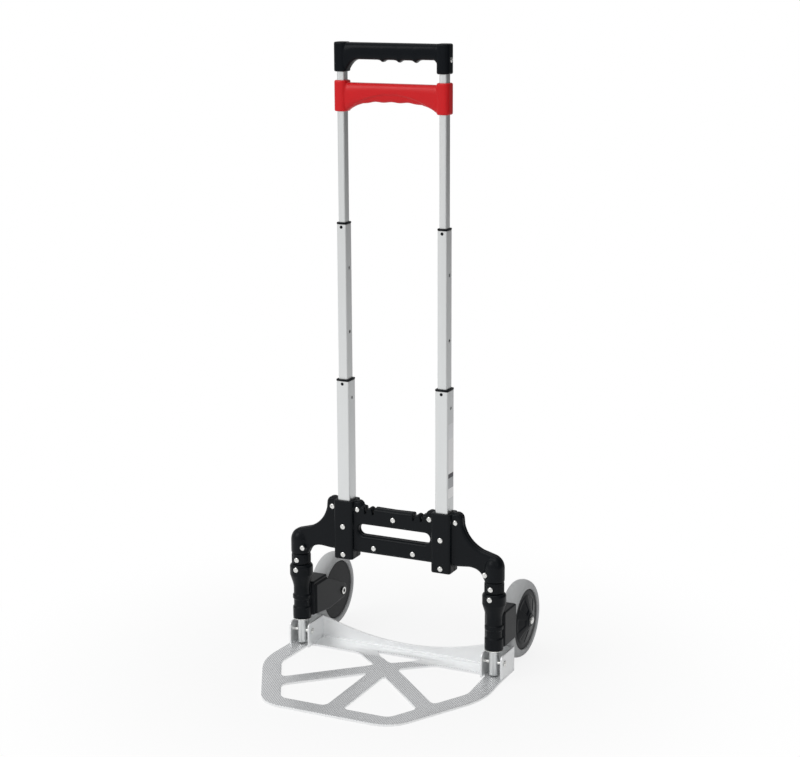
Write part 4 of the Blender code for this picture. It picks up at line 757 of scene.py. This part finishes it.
def hub(across, sign):
    """Dished disc turned from its profile, with shallow wedge pockets between six broad spokes."""
    radius, height = (np.array(column)[:, None] / 1000 for column in zip(*HUB_FACE))
    fine = [0]
    for step in range(len(radius) - 1):
        count = max(1, int(math.hypot(*(np.diff(c[step:step + 2, 0])[0]
                                        for c in (radius, height))) / HUB_STEP))
        fine += list(step + np.arange(1, count + 1) / count)
    radius = np.interp(fine, np.arange(len(radius)), radius[:, 0])[:, None]
    height = np.interp(fine, np.arange(len(height)), height[:, 0])[:, None]
    angles = np.linspace(0, 2 * math.pi, 240, endpoint=False)
    wedge = np.clip((np.cos(POCKET_COUNT * angles) + 0.35) * 4, 0, 1)
    reach = (np.clip((radius - POCKET_RADII[0]) * POCKET_SLOPE, 0, 1)
             * np.clip((POCKET_RADII[1] - radius) * POCKET_SLOPE, 0, 1))
    height = height - POCKET_DEPTH * wedge * reach * (height > 0)
    return skin(aimed(polar(radius, angles, height), (across, WHEEL_Y, WHEEL_Z), (sign, 0, 0)),
                loop=True)


def six_sided(profile, centre, direction):
    """Turned solid whose radius is drawn in to a hexagon on the rows marked six-sided."""
    angles = np.linspace(0, 2 * math.pi, 96, endpoint=False)
    hexagon = math.cos(math.pi / 6) / np.cos(angles % (math.pi / 3) - math.pi / 6)
    radius, height, flats = np.array(profile).T[..., None]
    rows = polar(radius * np.where(flats, hexagon, 1), angles, height)
    return skin(aimed(rows, centre, direction))


for side, sign in SIDES.items():
    across = sign * LEG_X
    show(side + "_tyre", tyre(across), "wheel_" + side, "grey_tyre", grey_rubber,
         "wheel_tyre_" + side)
    show(side + "_hub", hub(across, sign), "wheel_" + side, "gloss_black_plastic", gloss_black,
         "wheel_hub_" + side)
    low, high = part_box("axle_bolt_" + side)
    outer_end, inner_end = (high[0], low[0]) if sign > 0 else (low[0], high[0])
    top, tail = abs(outer_end) - LEG_X, abs(inner_end) - LEG_X
    bolt = six_sided([(0, top, 0), (0.0030, top, 0), (0.0034, top - 0.0003, 0),
                      (0.0050, top - 0.0003, 0), (0.0066, top - 0.0010, 1),
                      (0.0068, top - BOLT_HEIGHT, 1), (BOLT_SHANK, top - BOLT_HEIGHT, 0),
                      (BOLT_SHANK, tail + 0.0004, 0), (0.0034, tail, 0), (0, tail, 0)],
                     (across, WHEEL_Y, WHEEL_Z), (sign, 0, 0))
    show(side + "_axle_bolt", bolt, "bracket_" + side, "zinc_steel", zinc_steel,
         "axle_bolt_" + side)
    low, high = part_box("axle_nut_" + side)
    near, far = sorted((LEG_X - abs(low[0]), LEG_X - abs(high[0])))
    nut = six_sided([(NUT_BORE, near, 0), (0.0066, near, 1), (NUT_RADIUS, near + 0.0005, 1),
                     (NUT_RADIUS, far - 0.0005, 1), (0.0060, far, 0), (NUT_BORE, far, 0)],
                    (across, WHEEL_Y, WHEEL_Z), (-sign, 0, 0))
    show(side + "_axle_nut", nut, "bracket_" + side, "zinc_steel", zinc_steel,
         "axle_nut_" + side)

# ------------------------------------------------------------------ toe plate
# One aluminium casting: a rim and five spokes round open windows, a smooth rear beam with an
# upright web, and two ears at each leg. Fine slanting grooves cover all in front of the beam.
PLATE_REAR, PLATE_EDGE, PLATE_WIDEST, PLATE_REACH = 0.0435, 0.1928, 0.1978, 0.252
PLATE_THICKNESS, PLATE_EASE = 0.004, 0.0007
FLANK_Y, SHOULDER_Y, NOSE_X = -0.010, -0.094, 0.1118
RIM = 0.031
BEAM_FRONT, HUB_Y = 0.002, -0.040
SPOKE_HALF, RIB_HALF = 0.0145, 0.012
SLIM_WINDOW = ((0.043, 0.017), (0.026, -0.003), (0.002, -0.0205))
SLIM_REACH, WINDOW_REACH = 0.006, 0.011
CORNER_REACH = (0.003, 0.02, 0.040, 0.036)
SPOKE_RUN, RIB_RUN = (0.1584, -0.1505), (0.085, 0.070)
WEB_THICKNESS, WEB_MIDDLE, WEB_SHORT, WEB_DROP, WEB_FOOT = 0.0032, 0.0150, 0.0012, 0.0003, 0.0013
WEB_EDGE = 0.0008
LEDGE_HALF, LEDGE_Y, LEDGE_Z = 0.153, (0.0355, 0.0421), (0.0015, 0.0068)
EAR_HEIGHT, EAR_FOOT, EAR_SHORT, EAR_NUDGE = 0.042, 0.0015, 0.0014, 0.00015
EAR_IN, EAR_THICKNESS, EAR_FRONT, EAR_CORNER = 0.0158, 0.003, -0.012, 0.008
GROOVE_PITCH, GROOVE_DEPTH, GROOVE_REAR = 0.0034, 0.0005, -0.004
FIRST_GROOVE, LAST_GROOVE = -0.36, 0.20
GROOVE_SHADE_HALF, GROOVE_SHADE_COLOUR = 0.26, (0.60, 0.61, 0.63, 1)     # painted groove shade: half of its band's width in pitches, and its colour
HINGE_Z = 0.027
RIVET_END = ((0, 0), (2.2, 0), (2.6, 0.4), (3.0, 0.4), (4.4, 0.6), (5.1, 1.2), (5.2, 1.8),
             (3.0, 1.8))         # radius and distance from the rivet's end, in millimetres

cast_aluminium = finish("cast_aluminium", (0.95, 0.96, 0.965), 0.40, 0.65, scale=500,
                        bump=0.12, depth=0.00008, shade=0.03, spread=0.14)


def paint_groove_shade(material):
    """Painted shade: a darker colour in the grooves stands in for the shade that falls in them.
    The place across the grooves, in pitches, gives the distance from the nearest groove's middle,
    and the height keeps the colour below the plate's top."""
    tree = material.node_tree
    shader = tree.nodes["Principled BSDF"]
    unshaded_colour = shader.inputs["Base Color"].links[0].from_socket
    place, axes = (tree.nodes.new("ShaderNode" + kind) for kind in ("TexCoord", "SeparateXYZ"))
    tree.links.new(place.outputs["Object"], axes.inputs[0])
    slant = reckoned(tree, "ADD", axes.outputs["X"], axes.outputs["Y"])
    slant = reckoned(tree, "SUBTRACT", slant, LEG_Y)
    pitches = reckoned(tree, "DIVIDE", slant, GROOVE_PITCH * math.sqrt(2))
    first = reckoned(tree, "SUBTRACT", pitches, FIRST_GROOVE / GROOVE_PITCH)
    away = reckoned(tree, "SUBTRACT", first, reckoned(tree, "ROUND", first))
    groove_shade_mask = reckoned(tree, "LESS_THAN", reckoned(tree, "ABSOLUTE", away), GROOVE_SHADE_HALF)
    for side, height in (("LESS_THAN", PLATE_THICKNESS - 0.00006),
                         ("GREATER_THAN", PLATE_THICKNESS - GROOVE_DEPTH - 0.00003)):
        groove_shade_mask = reckoned(tree, "MULTIPLY", groove_shade_mask, reckoned(tree, side, axes.outputs["Z"], height))
    tree.links.new(mixed(tree, groove_shade_mask, unshaded_colour, GROOVE_SHADE_COLOUR), shader.inputs["Base Color"])


# paint a darker colour into the grooves as their shade
paint_groove_shade(cast_aluminium)


def clipped(corners, normal, limit):
    """The part of a convex outline on the near side of a line."""
    kept = []
    for start, end in zip(corners, np.roll(corners, -1, axis=0)):
        before, after = start @ normal - limit, end @ normal - limit
        if before <= 0:
            kept.append(start)
        if before * after < 0:
            kept.append(start + (end - start) * before / (before - after))
    return np.array(kept)


def rounded(corners, reach, steps=7):
    """Each corner becomes a quadratic curve between points at its reach along both sides."""
    corners = np.asarray(corners, float)
    reach = np.broadcast_to(reach, len(corners))[:, None]
    before, after = np.roll(corners, 1, axis=0), np.roll(corners, -1, axis=0)
    share = np.linspace(0, 1, steps)[:, None, None]

    def towards(other):
        """Point at the corner's reach, or just under half of the side, towards another corner."""
        length = np.linalg.norm(other - corners, axis=1)[:, None]
        return corners + (other - corners) * np.minimum(reach / length, 0.45)

    curve = ((1 - share) ** 2 * towards(before) + 2 * share * (1 - share) * corners
             + share ** 2 * towards(after))
    return curve.transpose(1, 0, 2).reshape(-1, 2)


def side_line(start, end, inset):
    """Outward normal of a side and the limit that leaves an inset inside it."""
    along = (np.array(end) - start) / np.linalg.norm(np.array(end) - start)
    normal = np.array((along[1], -along[0]))
    if normal @ (np.array(start) - (0, -0.1)) < 0:
        normal = -normal
    return normal, normal @ np.array(start) - inset


def plate_windows():
    """Front and side windows of one half: a big square clipped by rim, beam, spokes and rib."""
    hub = np.array((0, HUB_Y))
    spoke = np.array(SPOKE_RUN) / math.hypot(*SPOKE_RUN)
    over = np.array((-spoke[1], spoke[0]))
    rib = np.array(RIB_RUN) / math.hypot(*RIB_RUN)
    under = np.array((rib[1], -rib[0]))
    square = np.array(((-0.3, -0.3), (0.3, -0.3), (0.3, 0.1), (-0.3, 0.1)))
    nose = side_line((PLATE_WIDEST, SHOULDER_Y), (NOSE_X, -PLATE_REACH), RIM)
    flank = side_line((PLATE_EDGE, FLANK_Y), (PLATE_WIDEST, SHOULDER_Y), RIM)
    front, flank_window = square, square
    for normal, limit in (nose, flank, (np.array((0, -1.0)), PLATE_REACH - RIM),
                          (np.array((-1.0, 0)), -SPOKE_HALF), (over, over @ hub - SPOKE_HALF)):
        front = clipped(front, normal, limit)
    for normal, limit in (nose, flank, (np.array((0, 1.0)), BEAM_FRONT),
                          (-over, -over @ hub - SPOKE_HALF), (-under, -under @ hub - RIB_HALF)):
        flank_window = clipped(flank_window, normal, limit)
    return rounded(front, WINDOW_REACH), rounded(flank_window, WINDOW_REACH)


def grooves():
    """Long V-shaped bars at 45 degrees that start on one line across the plate, for cutting."""
    middle = np.arange(FIRST_GROOVE, LAST_GROOVE, GROOVE_PITCH)[:, None]
    across = middle + np.array((-0.0009, 0.0009, 0.0003, -0.0003))
    height = PLATE_THICKNESS + np.array((0.0002, 0.0002, -GROOVE_DEPTH, -GROOVE_DEPTH))
    starts = across - math.sqrt(2) * GROOVE_REAR
    bars = bpy.data.meshes.new("grooves")
    ends = []
    for along in (starts, np.full_like(starts, 0.45)):
        ends.append(np.stack(((across + along) / math.sqrt(2), (across - along) / math.sqrt(2),
                              np.broadcast_to(height, across.shape)), -1))
    points = np.stack(ends, 1)
    first = np.arange(len(middle))[:, None] * 8
    pattern = np.array(((0, 1, 2, 3), (7, 6, 5, 4), (0, 4, 5, 1), (1, 5, 6, 2), (2, 6, 7, 3),
                        (3, 7, 4, 0)))
    faces = (first[:, :, None] + pattern).reshape(-1, 4)
    bars.from_pydata(points.reshape(-1, 3).tolist(), [], faces.tolist())
    return weld(bars)


def make_toe_plate():
    """Pierced plate with eased edges and cut grooves, then web, foot ledge and ears joined."""
    corners = mirrored(np.array(((PLATE_EDGE, PLATE_REAR), (PLATE_EDGE, FLANK_Y),
                                 (PLATE_WIDEST, SHOULDER_Y), (NOSE_X, -PLATE_REACH))))
    loops = [rounded(corners, CORNER_REACH + CORNER_REACH[::-1], 12),
             rounded(mirrored(np.array(SLIM_WINDOW)), SLIM_REACH)]
    for window in plate_windows():
        loops += [window, window * (-1, 1)]
    plate = flat_plate(loops, "XY", 0, PLATE_THICKNESS, PLATE_EASE, 2)

    rise = np.linspace(1, -1, 41)[:, None]
    dip = LEG_X - EAR_IN - EAR_THICKNESS
    top = np.hstack((dip * rise, WEB_MIDDLE + (EAR_HEIGHT - WEB_MIDDLE) * rise ** 2))
    end, high = PLATE_EDGE - WEB_SHORT, EAR_HEIGHT - WEB_DROP
    web = np.vstack(([(end, WEB_FOOT), (end, high)], top - (0, WEB_DROP),
                     [(-end, high), (-end, WEB_FOOT)]))
    near, far = LEDGE_Y
    ledge = np.array(((-LEDGE_HALF, near), (LEDGE_HALF, near), (LEDGE_HALF, far),
                      (-LEDGE_HALF, far)))
    added = [flat_plate([web], "XZ", PLATE_REAR - WEB_THICKNESS, PLATE_REAR, WEB_EDGE),
             flat_plate([ledge], "XY", *LEDGE_Z, PLATE_EASE)]
    corner, rear = EAR_CORNER, PLATE_REAR - EAR_SHORT
    ear = np.vstack(([(EAR_FRONT, EAR_FOOT)],
                     arc((EAR_FRONT + corner, EAR_HEIGHT - corner), corner, 180, 90, 12),
                     [(rear, EAR_HEIGHT), (rear, EAR_FOOT)]))
    for sign in SIDES.values():
        for offset in (-EAR_IN - EAR_THICKNESS, EAR_IN):
            low_x = sign * LEG_X + offset
            nudge = sign * EAR_NUDGE * (1 if abs(low_x + EAR_THICKNESS / 2) > LEG_X else -1)
            added.append(flat_plate([ear], "YZ", low_x - nudge, low_x + EAR_THICKNESS - nudge,
                                    PLATE_EASE))
    cut = combine(plate, removed=[grooves()])
    show("cast_toe_plate", combine(cut, added), "toe", "aluminium", cast_aluminium, "toe_plate",
         crease=28)


make_toe_plate()
for side, sign in SIDES.items():
    low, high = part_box("hinge_pin_" + side)
    half = (high[0] - low[0]) / 2
    end = [(radius / 1000, half - drop / 1000) for radius, drop in RIVET_END]
    profile = end + [(radius, -height) for radius, height in end[::-1]]
    show(side + "_hinge_rivet", turn(profile, (sign * LEG_X, 0, HINGE_Z), (1, 0, 0), 48), "toe",
         "zinc_steel", zinc_steel, "hinge_pin_" + side)

# ------------------------------------------------------------------ top handle
# A glossy black moulding on the upper tubes, with hollows for the fingers under the grip.
# A screw on each outer side holds it.
POST_SIZE, POST_EASE, GRIP_LAP = (0.021, 0.025, 0.007), 0.0022, 0.003
SPAN = TUBE_X - POST_SIZE[0] / 2
HANDLE_BOTTOM, HANDLE_TOP, GRIP_DROP = 0.9565, 1.002, 0.0005
GRIP_UNDERSIDE, GRIP_HALF_DEPTH = 0.9755, 0.0115
FINGER_PITCH, FIRST_CUSP, FINGER_RISE = 0.0278, 0.0125, 0.0038
CUSPS = (-0.0293, SPAN - 0.016)  # outside these the grip has no cusp
SQUARENESS, STEP_DEPTH, STEP_SLOPE = 0.62, 0.20, 0.0009
END_LIFT, LIFT_START, LIFT_RUN = 0.0012, 0.040, 0.012
LEFT_FILLET, RIGHT_FILLET = (0.022, 0.0165, 2.4), (0.006, 0.005, 2)      # width, drop, power
HANDLE_VOXEL = 0.00075


def grip(top, underside, half_depth, step_line=None, steps=160, around=96):
    """Bar along X: at each X a superellipse fills the height between its underside and its top.
    Below a step line its faces are set back a little."""
    across = np.linspace(-SPAN - GRIP_LAP, SPAN + GRIP_LAP, steps)[:, None]
    low = underside(across)
    angles = np.linspace(0, 2 * math.pi, around, endpoint=False)
    wide, tall = (np.sign(f(angles)) * abs(f(angles)) ** SQUARENESS for f in (np.cos, np.sin))
    height = (top + low) / 2 + (top - low) / 2 * tall
    depth = half_depth * wide + 0 * across
    if step_line:
        depth = depth * (1 - STEP_DEPTH * np.clip((step_line(across) - height) / STEP_SLOPE, 0, 1))
    return skin(np.stack((across + 0 * angles, depth, height), -1))


def finger_underside(across):
    """Three cusps at one pitch with hollows between them, and a fillet at each post, the left
    one larger."""
    phase = ((across - FIRST_CUSP) / FINGER_PITCH) % 1
    cusps = (across > CUSPS[0]) & (across < CUSPS[1])
    scallop = np.where(cusps, -FINGER_RISE * (2 * phase - 1) ** 4, 0)
    lift = END_LIFT * np.clip((across - LIFT_START) / LIFT_RUN, 0, 1)
    level = GRIP_UNDERSIDE + scallop + lift
    for outward, (width, drop, power) in ((-across, LEFT_FILLET), (across, RIGHT_FILLET)):
        level = level - drop * np.clip((outward - (SPAN - width)) / width, 0, 1) ** power
    return level


def make_handle(name, low, high, bar, bore_top, body, slot, material, node):
    """Two posts and a bar joined, bored for the upper tubes, then moulded."""
    posts = [block(sign * TUBE_X, low, high, POST_SIZE, POST_EASE) for sign in SIDES.values()]
    width, depth = tube_sizes["upper"][:2]
    bores = [block(sign * TUBE_X, low - THROUGH, bore_top,
                   (width + BORE_ROOM, depth + BORE_ROOM, TUBE_CORNER))
             for sign in SIDES.values()]
    solid = combine(posts[0], [posts[1], bar], bores)
    show(name, moulded(solid, HANDLE_VOXEL, 4), body, slot, material, node, crease=60)


make_handle("finger_handle", HANDLE_BOTTOM, HANDLE_TOP,
            grip(HANDLE_TOP - GRIP_DROP, finger_underside, GRIP_HALF_DEPTH),
            tube_sizes["upper"][3] + BORE_ROOM / 2, "top_stage", "gloss_black_plastic", gloss_black,
            "top_handle")

# ------------------------------------------------------------------ release grip
# A red moulding that slides on the upper tubes. Pulled up towards the handle, it draws in the
# lock pins through a lug and a rod in each tube.
RELEASE_BOTTOM, RELEASE_TOP, RELEASE_GRIP_TOP = 0.8955, 0.9435, 0.940
RELEASE_ARCH, RELEASE_HALF_DEPTH, ARCH_FALL = 0.911, 0.0105, 0.0145
RIDGE_HEIGHT, RIDGES_END = 0.0006, 0.052
STEP_RISE, STEP_FALL, STEP_POWER = 0.0125, 0.026, 2.3

red_plastic = finish("red_plastic", (0.68, 0.005, 0.009), 0.34, scale=900, bump=0.10,
                     depth=0.00005, shade=0.05, spread=0.08, sheen=0.32)


def arch_underside(across):
    """Arch that falls with the fourth power of X towards the posts, with faint finger ridges."""
    arch = RELEASE_ARCH - ARCH_FALL * np.minimum(abs(across) / SPAN, 1) ** 4
    ridges = RIDGE_HEIGHT * np.cos(2 * math.pi * (across - FIRST_CUSP) / FINGER_PITCH)
    return arch - ridges * (abs(across) < RIDGES_END)


def arch_step(across):
    """Line on the grip's faces that follows the arch a little above the underside."""
    share = np.minimum(abs(across) / SPAN, 1)
    return RELEASE_ARCH + STEP_RISE - STEP_FALL * share ** STEP_POWER


make_handle("pull_up_grip", RELEASE_BOTTOM, RELEASE_TOP,
            grip(RELEASE_GRIP_TOP, arch_underside, RELEASE_HALF_DEPTH, arch_step),
            RELEASE_TOP + THROUGH, "release", "red_plastic", red_plastic, "release_grip")

# ------------------------------------------------------------------ tube label
# A thin blank sticker on the outer face of the right lower tube: pale film with one dark band.
LABEL_Z, LABEL_WIDTH, LABEL_CORNER = (0.292, 0.413), 0.0195, 0.0015
LABEL_GAP, LABEL_THICKNESS, LABEL_EASE = 0.00002, 0.00012, 0.00003
LABEL_BANDS = ((0.0, (0.97, 0.97, 0.97)), (0.13, (0.52, 0.53, 0.54)), (0.27, (0.10, 0.10, 0.11)),
               (0.33, (0.97, 0.97, 0.97)), (0.80, (0.90, 0.91, 0.92)))

label_film = finish("label_film", (0.8, 0.8, 0.8), 0.42, 0.8, scale=600, bump=0.05, shade=0.02)
tree = label_film.node_tree
place, height, bands = (tree.nodes.new("ShaderNode" + kind) for kind in (
    "TexCoord", "SeparateXYZ", "ValToRGB"))
tree.links.new(place.outputs["Object"], height.inputs["Vector"])
tree.links.new(mapped(tree, height.outputs["Z"], LABEL_Z, (0, 1)), bands.inputs["Fac"])
stops = bands.color_ramp.elements
bands.color_ramp.interpolation = "CONSTANT"
while len(stops) < len(LABEL_BANDS):
    stops.new(0.5)
for stop, (position, colour) in zip(stops, LABEL_BANDS):
    stop.position = position
for stop, (position, colour) in zip(stops, LABEL_BANDS):
    stop.color = colour + (1,)
tree.links.new(bands.outputs["Color"], tree.nodes["Principled BSDF"].inputs["Base Color"])

face = TUBE_X + tube_sizes["lower"][0] / 2
sticker = section(LABEL_WIDTH, LABEL_Z[1] - LABEL_Z[0], LABEL_CORNER) + (0, sum(LABEL_Z) / 2)
film = flat_plate([sticker], "YZ", face + LABEL_GAP, face + LABEL_THICKNESS, LABEL_EASE, 0)
show("tube_label", film, "frame", None, label_film)
